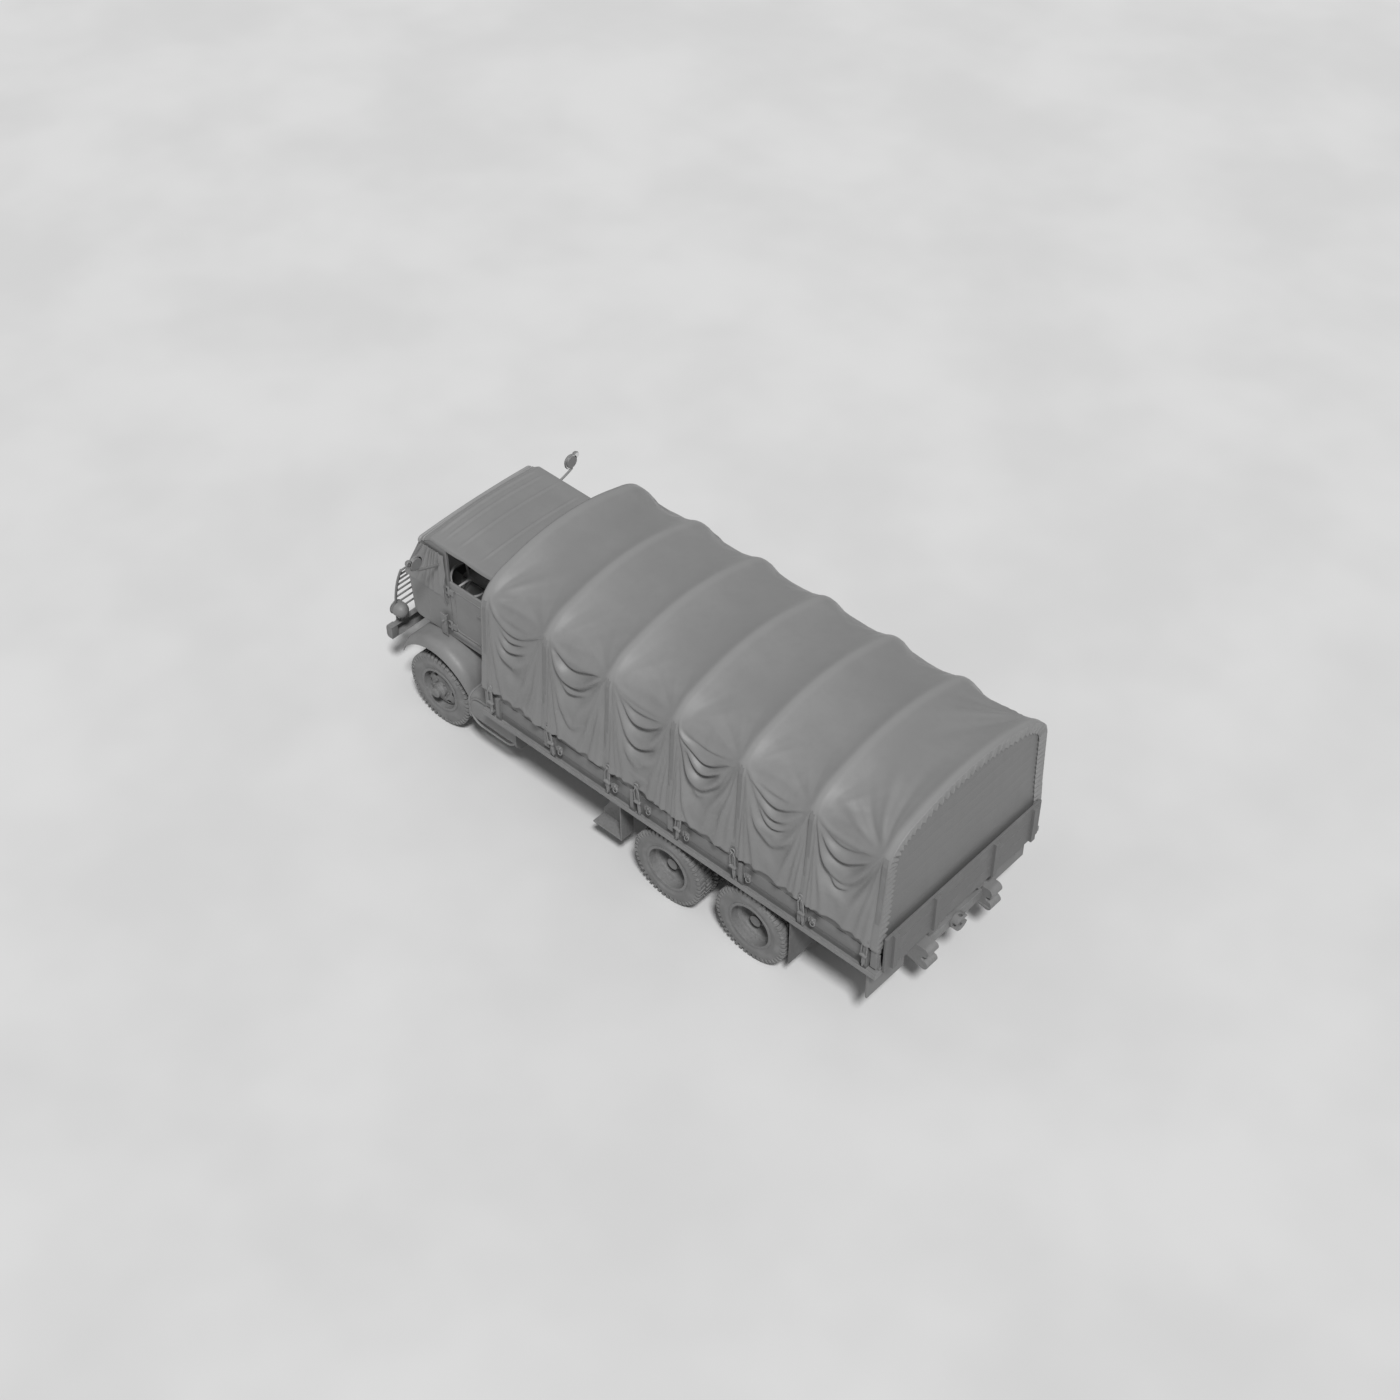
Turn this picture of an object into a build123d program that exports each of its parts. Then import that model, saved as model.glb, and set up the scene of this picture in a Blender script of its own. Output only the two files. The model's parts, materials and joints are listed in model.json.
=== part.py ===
# Six-wheel-drive cab-over military cargo truck with a canvas-covered long bed.
# Frame: +X forward, +Y to the truck's left, +Z up, floor at z = 0. Millimetres.
import os
from math import cos, pi, radians, sin

from build123d import *

os.makedirs("parts", exist_ok=True)

LEFT, RIGHT = 1, -1
SIDES = (("left", LEFT), ("right", RIGHT))

# Running gear
WHEELBASE = 4166.0          # front axle to the middle of the rear bogie
BOGIE_SPREAD = 1118.0       # between the two rear axles
TYRE_RADIUS = 459.0
TYRE_WIDTH = 206.0
TREAD_WIDTH = 168.0
LUGS = 36
LUG_DEPTH = 15.0
INNER_TYRE_SIDES = 20       # the hidden tyre of a pair has no lugs
RIM_RADIUS = 254.0          # tyre seat
RIM_WIDTH = 170.0
RIM_FLANGE = 22.0
RIM_WALL = 10.0
FRONT_TYRE_Y = 900.0
REAR_TYRE_Y = 1133.0        # middle of the outer tyre
TWIN_SPACING = 256.0
KINGPIN_Y = 690.0
KINGPIN_RADIUS = 22.0
SPINDLE_RADIUS = 38.0
RUNNING_CLEARANCE = 0.05
SEAT_GAP = 0.3
HAND_HOLES = 6

# Chassis
RAIL_OUTER_Y = 430.0
RAIL_FLANGE = 75.0
RAIL_HEIGHT = 200.0
RAIL_TOP_Z = 900.0
RAIL_WALL = 8.0

# Bed
BED_SETBACK = 1045.0        # front axle to the front of the bed
BED_LENGTH = 5280.0
BED_HALF_WIDTH = 1288.0
SIDE_RAIL_BOTTOM_Z = 1002.0
SIDE_RAIL_HEIGHT = 103.0    # from its lower edge to the bed's floor
SIDE_RAIL_LIP = 63.0        # height of its outer wall
SIDE_RAIL_LEDGE = 68.0
FLOOR_THICKNESS = 28.0
STAKE_TOP_Z = 1560.0
BOW_COUNT = 7
BOW_INSET = 55.0            # end bows to the ends of the bed

# Cover
COVER_TOP_Z = 2916.0
COVER_SAG = 55.0            # between two bows
COVER_HEM_Z = 1290.0
COVER_THICKNESS = 9.0

# Ends of the truck
BUMPER_REACH = 950.0        # front axle to the front of the bumper
BUMPERETTE_OVERHANG = 105.0  # behind the bed
BUMPER_DEPTH = 90.0
BUMPER_HALF_WIDTH = 885.0
BUMPER_BOTTOM_Z = 600.0
BUMPER_TOP_Z = 760.0

# Cab
CAB_HALF_WIDTH = 800.0
CAB_WALL = 28.0
CAB_SILL_Z = 1235.0         # lower edge of the door
DOOR_TOP_Z = 1955.0
CAB_EAVE_Z = 2450.0
CAB_ROOF_Z = 2505.0
DOOR_GAP = 8.0

# Stations along the truck, derived from the sizes above
REAR_REACH = BED_SETBACK + BED_LENGTH + BUMPERETTE_OVERHANG
AXLE_X = (REAR_REACH - BUMPER_REACH) / 2
BOGIE_X = AXLE_X - WHEELBASE
REAR_AXLES = (("mid", BOGIE_X + BOGIE_SPREAD / 2), ("rear", BOGIE_X - BOGIE_SPREAD / 2))
BED_FRONT_X = AXLE_X - BED_SETBACK
BED_REAR_X = BED_FRONT_X - BED_LENGTH
BED_MID_X = (BED_FRONT_X + BED_REAR_X) / 2
FRAME_FRONT_X = AXLE_X + BUMPER_REACH - BUMPER_DEPTH - SEAT_GAP
RAIL_BOTTOM_Z = RAIL_TOP_Z - RAIL_HEIGHT
AXLE_Z = TYRE_RADIUS
LEDGE_Z = SIDE_RAIL_BOTTOM_Z + SIDE_RAIL_HEIGHT
FLOOR_Z = LEDGE_Z
BOW_FIRST_X = BED_FRONT_X - BOW_INSET
BOW_PITCH = (BED_LENGTH - 2 * BOW_INSET) / (BOW_COUNT - 1)
BOW_XS = [BOW_FIRST_X - BOW_PITCH * i for i in range(BOW_COUNT)]


def side_plane(y):
    """Drawing plane at y: local x is +X, local y is +Z, extruded towards -Y."""
    return Plane(origin=(0, y, 0), x_dir=(1, 0, 0), z_dir=(0, -1, 0))


def cross_plane(x):
    """Drawing plane at x: local x is +Y, local y is +Z, extruded towards +X."""
    return Plane(origin=(x, 0, 0), x_dir=(0, 1, 0), z_dir=(1, 0, 0))


def wheel_plane(x, y, side):
    """Half-section plane of a wheel: local x is the radius, local y points outboard."""
    return Plane(origin=(x, y, AXLE_Z), x_dir=(1, 0, 0), z_dir=(0, 0, side))


def tyre_plane(x, y):
    """Plane across a wheel: local x is +X, local y points down."""
    return Plane(origin=(x, y, AXLE_Z), x_dir=(1, 0, 0), z_dir=(0, 1, 0))


def spin_axis(x, z=AXLE_Z):
    return Axis((x, 0, z), (0, 1, 0))


def save(builder, name):
    builder.part.label = name
    export_step(builder.part, f"parts/{name}.step")


# Tyre sections from the bead to beyond the tread's edge: radius, offset from the middle of the tyre
TYRE_SECTIONS = ((RIM_RADIUS + 8, RIM_WIDTH / 2 - 0.5),
                 (RIM_RADIUS + 0.59 * (TYRE_RADIUS - RIM_RADIUS), TYRE_WIDTH / 2),
                 (TYRE_RADIUS + 16, TREAD_WIDTH / 2 - 3))


def ring_corners(count, flat, depth=0.0):
    """Corners round the wheel's axis whose straight sides lie at the radius flat, one of them lowest.
    With a depth, the middle of each side is notched by it, which leaves a lug at each corner."""
    tip = flat / cos(pi / count)
    corners = []
    for i in range(count):
        if depth:
            corners.append((i, flat - depth))
        corners.append((i + 0.5, tip))
    return [(radius * cos(2 * pi * place / count), radius * sin(2 * pi * place / count)) for place, radius in corners]


def tyre(x, y, sides, depth):
    """One tyre of flat facets about the wheel's axis, with lugs where a depth is given."""
    with BuildPart() as ring:
        for radius, offset in TYRE_SECTIONS + tuple((r, -w) for r, w in reversed(TYRE_SECTIONS)):
            with BuildSketch(tyre_plane(x, y + offset)):
                Polygon(*ring_corners(sides, radius), align=None)
        loft(ruled=True)
        for outline, mode in ((ring_corners(sides, TYRE_RADIUS, depth), Mode.INTERSECT),
                              (ring_corners(sides, RIM_RADIUS + SEAT_GAP), Mode.SUBTRACT)):
            with BuildSketch(tyre_plane(x, y - TYRE_WIDTH)):
                Polygon(*outline, align=None)
            extrude(amount=2 * TYRE_WIDTH, mode=mode)
    return ring.part


def rim_section(disc):
    """Closed half-section of a rim barrel with a disc that ends on the hub.
    disc rows: radius, offset of the disc's outer face, from the barrel inwards."""
    seat, half = RIM_RADIUS, RIM_WIDTH / 2
    inner = seat - RIM_WALL
    top = [(seat, half), (seat + RIM_FLANGE, half + 3), (seat + RIM_FLANGE, half + 11), (inner, half + 11)]
    front = [(r, w) for r, w in disc]
    back = [(r, w - RIM_WALL) for r, w in reversed(disc)]
    low = [(inner, -half - 11), (seat + RIM_FLANGE, -half - 11), (seat + RIM_FLANGE, -half - 3), (seat, -half)]
    return top + front + back + low


HUB_RADIUS = 84.0
DRUM_RADIUS = 200.0
BORE_RADIUS = SPINDLE_RADIUS + RUNNING_CLEARANCE
FRONT_DISC = [(RIM_RADIUS - RIM_WALL, 8), (205, 40), (150, 58), (HUB_RADIUS - 4, 58)]
REAR_DISC = [(RIM_RADIUS - RIM_WALL, 0), (215, -22), (185, -110), (HUB_RADIUS - 4, -116)]
HAND_HOLE_RADIUS = 178.0
REAR_HOLE_RADIUS = 146.0


def front_rim(x, side):
    """Front wheel: dished disc with hand holes, drum inboard and a long hub cap outboard."""
    y = side * FRONT_TYRE_Y
    with BuildPart() as rim:
        with BuildSketch(wheel_plane(x, y, side)):
            with BuildLine():
                Polyline(rim_section(FRONT_DISC), close=True)
            make_face()
        revolve(axis=spin_axis(x))
        # Hand holes
        with BuildSketch(Plane(origin=(x, y, AXLE_Z), x_dir=(1, 0, 0), z_dir=(0, side, 0))):
            with PolarLocations(HAND_HOLE_RADIUS, HAND_HOLES):
                Ellipse(24, 36)
        extrude(amount=70, mode=Mode.SUBTRACT)
        # Hub, drum and the bearing bore
        with BuildSketch(wheel_plane(x, y, side)):
            with BuildLine():
                Polyline([(BORE_RADIUS, -92), (DRUM_RADIUS, -92), (DRUM_RADIUS, -22), (HUB_RADIUS, -12),
                          (HUB_RADIUS, 96), (62, 118), (62, 158), (46, 172), (0, 172), (0, 100),
                          (BORE_RADIUS, 100)], close=True)
            make_face()
        revolve(axis=spin_axis(x))
    return rim.part


def rear_rim(x, side):
    """Twin rear wheel: two dished discs back to back on one hub, with the brake drum inboard."""
    outer_y = side * REAR_TYRE_Y
    inner_y = side * (REAR_TYRE_Y - TWIN_SPACING)
    with BuildPart() as rim:
        for y, face in ((outer_y, side), (inner_y, -side)):
            with BuildSketch(wheel_plane(x, y, face)):
                with BuildLine():
                    Polyline(rim_section(REAR_DISC), close=True)
                make_face()
            revolve(axis=spin_axis(x))
        with BuildSketch(Plane(origin=(x, outer_y, AXLE_Z), x_dir=(1, 0, 0), z_dir=(0, side, 0))):
            with PolarLocations(REAR_HOLE_RADIUS, HAND_HOLES):
                Ellipse(20, 32)
        extrude(amount=-TWIN_SPACING, mode=Mode.SUBTRACT)
        with BuildSketch(wheel_plane(x, outer_y, side)):
            with BuildLine():
                Polyline([(BORE_RADIUS, -TWIN_SPACING - 138), (DRUM_RADIUS, -TWIN_SPACING - 138),
                          (DRUM_RADIUS, -TWIN_SPACING - 60), (HUB_RADIUS, -TWIN_SPACING - 40),
                          (HUB_RADIUS, -40), (66, -22), (66, 12), (0, 12), (0, -70),
                          (BORE_RADIUS, -70)], close=True)
            make_face()
        revolve(axis=spin_axis(x))
    return rim.part


# Wheels: one tyre and one rim in front, twin tyres on one rim behind
for side_name, side in SIDES:
    with BuildPart() as front_tyre:
        add(tyre(AXLE_X, side * FRONT_TYRE_Y, LUGS, LUG_DEPTH))
    save(front_tyre, f"tyre_front_{side_name}")
    with BuildPart() as front_wheel:
        add(front_rim(AXLE_X, side))
    save(front_wheel, f"wheel_front_{side_name}")
    for row, axle_x in REAR_AXLES:
        with BuildPart() as twin_tyres:
            add(tyre(axle_x, side * REAR_TYRE_Y, LUGS, LUG_DEPTH))
            add(tyre(axle_x, side * (REAR_TYRE_Y - TWIN_SPACING), INNER_TYRE_SIDES, 0.0))
        save(twin_tyres, f"tyres_{row}_{side_name}")
        with BuildPart() as twin_wheel:
            add(rear_rim(axle_x, side))
        save(twin_wheel, f"wheel_{row}_{side_name}")

# Ladder frame: two channel rails tied by cross-members
RAIL_INNER_Y = RAIL_OUTER_Y - RAIL_FLANGE
FRAME_REAR_X = BED_REAR_X + 20
CROSS_MEMBERS = [FRAME_FRONT_X - 60, AXLE_X - 560, BED_FRONT_X - 300, BOGIE_X + 1250, BOGIE_X, BOGIE_X - 1050,
                 FRAME_REAR_X + 40]
CROSS_MEMBER_DEPTH = 80.0
with BuildPart() as frame:
    for side in (LEFT, RIGHT):
        with BuildSketch(cross_plane(FRAME_REAR_X)):
            with BuildLine():
                out, web, lip = side * RAIL_OUTER_Y, side * (RAIL_OUTER_Y - RAIL_WALL), side * RAIL_INNER_Y
                Polyline([(out, RAIL_BOTTOM_Z), (out, RAIL_TOP_Z), (lip, RAIL_TOP_Z),
                          (lip, RAIL_TOP_Z - RAIL_WALL), (web, RAIL_TOP_Z - RAIL_WALL),
                          (web, RAIL_BOTTOM_Z + RAIL_WALL), (lip, RAIL_BOTTOM_Z + RAIL_WALL),
                          (lip, RAIL_BOTTOM_Z)], close=True)
            make_face()
        extrude(amount=FRAME_FRONT_X - FRAME_REAR_X)
    with BuildSketch(Plane.XY.offset(RAIL_BOTTOM_Z)):
        with Locations([(x, 0) for x in CROSS_MEMBERS]):
            Rectangle(CROSS_MEMBER_DEPTH, 2 * (RAIL_OUTER_Y - RAIL_WALL / 2))
    extrude(amount=RAIL_HEIGHT - 70)
save(frame, "frame")

# Front driven axle: tube with an offset differential bowl and a kingpin boss at each end
AXLE_TUBE = 58.0
BOSS_RADIUS = 46.0
BOSS_HALF = 62.0
with BuildPart() as front_axle:
    with BuildSketch(Plane(origin=(AXLE_X, 0, AXLE_Z), x_dir=(0, 1, 0), z_dir=(0, 0, 1))):
        with BuildLine():
            Polyline([(-KINGPIN_Y, 0), (-KINGPIN_Y, AXLE_TUBE), (60, AXLE_TUBE), (110, 168), (230, 168),
                      (280, AXLE_TUBE), (KINGPIN_Y, AXLE_TUBE), (KINGPIN_Y, 0)], close=True)
        make_face()
    revolve(axis=spin_axis(AXLE_X))
    with BuildSketch(Plane.XY.offset(AXLE_Z - BOSS_HALF)):
        with Locations((AXLE_X, KINGPIN_Y), (AXLE_X, -KINGPIN_Y)):
            Circle(BOSS_RADIUS + 22)
    extrude(amount=2 * BOSS_HALF)
    with BuildSketch(Plane.XY.offset(AXLE_Z - BOSS_HALF)):
        with Locations((AXLE_X, KINGPIN_Y), (AXLE_X, -KINGPIN_Y)):
            Circle(KINGPIN_RADIUS + RUNNING_CLEARANCE)
    extrude(amount=2 * BOSS_HALF, mode=Mode.SUBTRACT)
save(front_axle, "front_axle")

# Steering knuckles: two ears on a pin, a back plate and the wheel's spindle
EAR = 26.0
EAR_GAP = 0.5
BACK_PLATE_Y = FRONT_TYRE_Y - 112
for side_name, side in SIDES:
    with BuildPart() as knuckle:
        for z in (AXLE_Z + BOSS_HALF + EAR_GAP, AXLE_Z - BOSS_HALF - EAR_GAP - EAR):
            with BuildSketch(Plane.XY.offset(z)):
                with Locations((AXLE_X, side * KINGPIN_Y)):
                    Circle(BOSS_RADIUS)
                with Locations((AXLE_X, side * (KINGPIN_Y + BACK_PLATE_Y) / 2)):
                    Rectangle(2 * BOSS_RADIUS, BACK_PLATE_Y - KINGPIN_Y)
            extrude(amount=EAR)
        with BuildSketch(Plane.XY.offset(AXLE_Z - BOSS_HALF - EAR)):
            with Locations((AXLE_X, side * KINGPIN_Y)):
                Circle(KINGPIN_RADIUS)
        extrude(amount=2 * (BOSS_HALF + EAR))
        with BuildSketch(wheel_plane(AXLE_X, 0, side)):
            with BuildLine():
                Polyline([(0, BACK_PLATE_Y), (DRUM_RADIUS - 30, BACK_PLATE_Y), (DRUM_RADIUS - 30, BACK_PLATE_Y + 12),
                          (SPINDLE_RADIUS, BACK_PLATE_Y + 12), (SPINDLE_RADIUS, FRONT_TYRE_Y + 90),
                          (0, FRONT_TYRE_Y + 90)], close=True)
            make_face()
        revolve(axis=spin_axis(AXLE_X))
    save(knuckle, f"knuckle_{side_name}")

# Rear driven axles: tube, centred banjo bowl and a spindle at each end
AXLE_END_Y = REAR_TYRE_Y - TWIN_SPACING - 150
for row, axle_x in REAR_AXLES:
    with BuildPart() as rear_axle:
        with BuildSketch(Plane(origin=(axle_x, 0, AXLE_Z), x_dir=(0, 1, 0), z_dir=(0, 0, 1))):
            half = [(0, 190), (70, 190), (150, AXLE_TUBE), (AXLE_END_Y, AXLE_TUBE), (AXLE_END_Y, SPINDLE_RADIUS),
                    (REAR_TYRE_Y - 80, SPINDLE_RADIUS), (REAR_TYRE_Y - 80, 0)]
            with BuildLine():
                Polyline([(-y, r) for y, r in reversed(half)] + half[1:], close=True)
            make_face()
        revolve(axis=spin_axis(axle_x))
    save(rear_axle, f"axle_{row}")

# Leaf springs: the front pair bows down onto its axle, the rear pair bridges the two rear axles
SPRING_WIDTH = 66.0
SPRING_Y = RAIL_OUTER_Y - RAIL_FLANGE / 2
SPRING_SEAT_Z = AXLE_Z + AXLE_TUBE + SEAT_GAP
SPRING_TOP_Z = RAIL_BOTTOM_Z - SEAT_GAP
FRONT_SPRING_HALF = 600.0
SPRING_PACK = 62.0
with BuildPart() as springs:
    for side in (LEFT, RIGHT):
        plane = side_plane(side * SPRING_Y + SPRING_WIDTH / 2)
        end, eye = FRONT_SPRING_HALF, FRONT_SPRING_HALF - 60
        with BuildSketch(plane):
            with BuildLine():
                ThreePointArc((AXLE_X - end, SPRING_TOP_Z - 55), (AXLE_X, SPRING_SEAT_Z),
                              (AXLE_X + end, SPRING_TOP_Z - 55))
                Polyline((AXLE_X + end, SPRING_TOP_Z - 55), (AXLE_X + end, SPRING_TOP_Z),
                         (AXLE_X + eye, SPRING_TOP_Z), (AXLE_X + eye, SPRING_TOP_Z - 30))
                ThreePointArc((AXLE_X + eye, SPRING_TOP_Z - 30), (AXLE_X, SPRING_SEAT_Z + SPRING_PACK),
                              (AXLE_X - eye, SPRING_TOP_Z - 30))
                Polyline((AXLE_X - eye, SPRING_TOP_Z - 30), (AXLE_X - eye, SPRING_TOP_Z),
                         (AXLE_X - end, SPRING_TOP_Z), (AXLE_X - end, SPRING_TOP_Z - 55))
            make_face()
        extrude(amount=SPRING_WIDTH)
        reach, flat = BOGIE_SPREAD / 2 + 80, BOGIE_SPREAD / 2 - 70
        with BuildSketch(plane):
            with BuildLine():
                Polyline((BOGIE_X - flat, SPRING_SEAT_Z), (BOGIE_X - reach, SPRING_SEAT_Z),
                         (BOGIE_X - reach, SPRING_SEAT_Z + 40), (BOGIE_X - flat, SPRING_SEAT_Z + 50))
                ThreePointArc((BOGIE_X - flat, SPRING_SEAT_Z + 50), (BOGIE_X, SPRING_TOP_Z),
                              (BOGIE_X + flat, SPRING_SEAT_Z + 50))
                Polyline((BOGIE_X + flat, SPRING_SEAT_Z + 50), (BOGIE_X + reach, SPRING_SEAT_Z + 40),
                         (BOGIE_X + reach, SPRING_SEAT_Z), (BOGIE_X + flat, SPRING_SEAT_Z))
                ThreePointArc((BOGIE_X + flat, SPRING_SEAT_Z), (BOGIE_X, SPRING_TOP_Z - 95),
                              (BOGIE_X - flat, SPRING_SEAT_Z))
            make_face()
        extrude(amount=SPRING_WIDTH)
save(springs, "springs")

# Engine: one plain block on two cross arms that end in the rails
ENGINE_BACK_X, ENGINE_FRONT_X = AXLE_X - 380, AXLE_X + 480
ENGINE_HALF_WIDTH = 265.0
ENGINE_BOTTOM_Z, ENGINE_TOP_Z = 645.0, 1480.0
ENGINE_ARM_Z = RAIL_BOTTOM_Z + RAIL_HEIGHT / 2
RAIL_WEB_Y = RAIL_OUTER_Y - RAIL_WALL
with BuildPart() as engine:
    with BuildSketch(side_plane(ENGINE_HALF_WIDTH)):
        with BuildLine():
            Polyline([(ENGINE_BACK_X, ENGINE_BOTTOM_Z + 120), (ENGINE_BACK_X, ENGINE_TOP_Z),
                      (ENGINE_FRONT_X, ENGINE_TOP_Z), (ENGINE_FRONT_X, ENGINE_BOTTOM_Z + 60),
                      (ENGINE_FRONT_X - 120, ENGINE_BOTTOM_Z), (ENGINE_BACK_X + 200, ENGINE_BOTTOM_Z)], close=True)
        make_face()
    extrude(amount=2 * ENGINE_HALF_WIDTH)
    with Locations((AXLE_X - 200, 0, ENGINE_ARM_Z), (AXLE_X + 260, 0, ENGINE_ARM_Z)):
        Box(80, 2 * (RAIL_WEB_Y - SEAT_GAP), 60)
save(engine, "engine")


def shaft(start, end, radius):
    """Round bar from start to end, added to the part being built."""
    a, b = Vector(*start), Vector(*end)
    with Locations(Plane(origin=a, z_dir=b - a)):
        Cylinder(radius, (b - a).length, align=(Align.CENTER, Align.CENTER, Align.MIN))


# Gearbox, transfer case and propeller shafts
SHAFT_RADIUS = 36.0
MEMBER_TOP_Z = RAIL_BOTTOM_Z + RAIL_HEIGHT - 70
TRANSFER_BACK_X = BED_FRONT_X - 300 + CROSS_MEMBER_DEPTH / 2 + SEAT_GAP
TRANSFER_FRONT_X = TRANSFER_BACK_X + 300
GEARBOX_BACK_X = AXLE_X - 760
FRONT_DIFF_Y = 170.0
with BuildPart() as driveline:
    with BuildSketch(Plane.XY.offset(MEMBER_TOP_Z + SEAT_GAP)):
        with Locations(((ENGINE_BACK_X - SEAT_GAP + GEARBOX_BACK_X) / 2, 0)):
            Rectangle(ENGINE_BACK_X - SEAT_GAP - GEARBOX_BACK_X, 300)
    extrude(amount=230)
    fillet(driveline.edges().filter_by(Axis.X), 40)
    with BuildSketch(side_plane(230)):
        with BuildLine():
            Polyline([(TRANSFER_BACK_X, 560), (TRANSFER_FRONT_X, 560), (TRANSFER_FRONT_X, 780),
                      (TRANSFER_FRONT_X - 70, 870), (TRANSFER_BACK_X, 870)], close=True)
        make_face()
    extrude(amount=460)
    shaft((GEARBOX_BACK_X + 10, 0, 920), (TRANSFER_FRONT_X - 80, 0, 800), SHAFT_RADIUS)
    shaft((TRANSFER_FRONT_X - 10, FRONT_DIFF_Y, 610), (AXLE_X - 190, FRONT_DIFF_Y, AXLE_Z + 15), SHAFT_RADIUS)
    shaft((TRANSFER_BACK_X + 10, 0, 610), (REAR_AXLES[0][1] + 205, 0, AXLE_Z + 15), SHAFT_RADIUS)
    shaft((REAR_AXLES[0][1] - 190 - SEAT_GAP, 0, AXLE_Z), (REAR_AXLES[1][1] + 190 + SEAT_GAP, 0, AXLE_Z), SHAFT_RADIUS)
save(driveline, "driveline")

# Exhaust: silencer on the right rail with its pipes
SILENCER_RADIUS = 82.0
PIPE = 26.0
SILENCER_Y = -(RAIL_OUTER_Y + SILENCER_RADIUS + 14)
SILENCER_FRONT_X, SILENCER_BACK_X = AXLE_X - 700, AXLE_X - 1400
SILENCER_Z = RAIL_BOTTOM_Z - 30
with BuildPart() as exhaust:
    shaft((SILENCER_BACK_X, SILENCER_Y, SILENCER_Z), (SILENCER_FRONT_X, SILENCER_Y, SILENCER_Z), SILENCER_RADIUS)
    shaft((SILENCER_FRONT_X - 20, SILENCER_Y, SILENCER_Z), (AXLE_X - 430, SILENCER_Y + 20, SILENCER_Z - 30), PIPE)
    shaft((SILENCER_BACK_X + 20, SILENCER_Y, SILENCER_Z), (BOGIE_X + 1250, SILENCER_Y - 240, SILENCER_Z - 90), PIPE)
    with Locations([(x, -(RAIL_OUTER_Y + SEAT_GAP + 25), RAIL_BOTTOM_Z + 40)
                    for x in (SILENCER_FRONT_X - 90, SILENCER_BACK_X + 90)]):
        Box(40, 50, 80)
save(exhaust, "exhaust")

# Front bumper: rolled channel with its open side to the frame
BUMPER_FRONT_X = AXLE_X + BUMPER_REACH
BUMPER_BACK_X = BUMPER_FRONT_X - BUMPER_DEPTH
BUMPER_WALL = 9.0
with BuildPart() as front_bumper:
    with BuildSketch(side_plane(BUMPER_HALF_WIDTH)):
        with BuildLine():
            Polyline([(BUMPER_BACK_X, BUMPER_BOTTOM_Z), (BUMPER_FRONT_X - 20, BUMPER_BOTTOM_Z),
                      (BUMPER_FRONT_X, BUMPER_BOTTOM_Z + 24), (BUMPER_FRONT_X, BUMPER_TOP_Z - 24),
                      (BUMPER_FRONT_X - 20, BUMPER_TOP_Z), (BUMPER_BACK_X, BUMPER_TOP_Z),
                      (BUMPER_BACK_X, BUMPER_TOP_Z - BUMPER_WALL), (BUMPER_FRONT_X - 24, BUMPER_TOP_Z - BUMPER_WALL),
                      (BUMPER_FRONT_X - BUMPER_WALL, BUMPER_TOP_Z - 28),
                      (BUMPER_FRONT_X - BUMPER_WALL, BUMPER_BOTTOM_Z + 28),
                      (BUMPER_FRONT_X - 24, BUMPER_BOTTOM_Z + BUMPER_WALL), (BUMPER_BACK_X, BUMPER_BOTTOM_Z + BUMPER_WALL)],
                     close=True)
        make_face()
    extrude(amount=2 * BUMPER_HALF_WIDTH)
save(front_bumper, "front_bumper")

# Brush guard: curved posts on the bumper with cross rods
GUARD_POSTS = (-750.0, -250.0, 250.0, 750.0)
GUARD_TUBE = 15.0
GUARD_ROD = 11.0
GUARD_FOOT = (AXLE_X + 905, BUMPER_TOP_Z + SEAT_GAP + 5)
GUARD_PAD = 24.0
GUARD_MIDDLE = (AXLE_X + 872, 1210.0)
GUARD_HEAD = (AXLE_X + 739, 1601.0)
GUARD_RODS = 8
with BuildPart() as brush_guard:
    for y in GUARD_POSTS:
        with BuildLine(side_plane(y)) as post:
            ThreePointArc(GUARD_FOOT, GUARD_MIDDLE, GUARD_HEAD)
        with BuildSketch(Plane(origin=post.line @ 0, z_dir=post.line % 0)):
            Circle(GUARD_TUBE)
        sweep(path=post.line)
        with Locations((GUARD_FOOT[0], y, BUMPER_TOP_Z + SEAT_GAP + 5)):
            Cylinder(GUARD_PAD, 10)
    for i in range(GUARD_RODS):
        spot = post.line @ (0.18 + 0.81 * i / (GUARD_RODS - 1))
        shaft((spot.X, GUARD_POSTS[0], spot.Z), (spot.X, GUARD_POSTS[-1], spot.Z), GUARD_ROD)
save(brush_guard, "brush_guard")

# Headlamps on stems behind the guard
LAMP_RADIUS = 88.0
LAMP_Y, LAMP_Z = 750.0, 974.0
LAMP_X = AXLE_X + 800
LAMP_STEM_X = BUMPER_BACK_X + 26
LAMP_FOOT = 16.0
with BuildPart() as headlamps:
    for side in (LEFT, RIGHT):
        with BuildSketch(Plane(origin=(LAMP_X, side * LAMP_Y, LAMP_Z), x_dir=(1, 0, 0), z_dir=(0, -1, 0))):
            with BuildLine():
                Polyline((60, 0), (70, 0), (62, LAMP_RADIUS - 12), (62, LAMP_RADIUS), (36, LAMP_RADIUS))
                ThreePointArc((36, LAMP_RADIUS), (-40, 62), (-72, 0))
                Line((-72, 0), (60, 0))
            make_face()
        revolve(axis=Axis((LAMP_X, side * LAMP_Y, LAMP_Z), (1, 0, 0)))
        stem_foot = (LAMP_STEM_X, side * (LAMP_Y - 60), BUMPER_TOP_Z + SEAT_GAP + LAMP_FOOT / 2)
        with Locations(stem_foot):
            Box(44, 60, LAMP_FOOT)
        shaft(Vector(*stem_foot) + Vector(0, 0, LAMP_FOOT / 4), (LAMP_X + 10, side * LAMP_Y, LAMP_Z - 40), 13)
save(headlamps, "headlamps")

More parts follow.
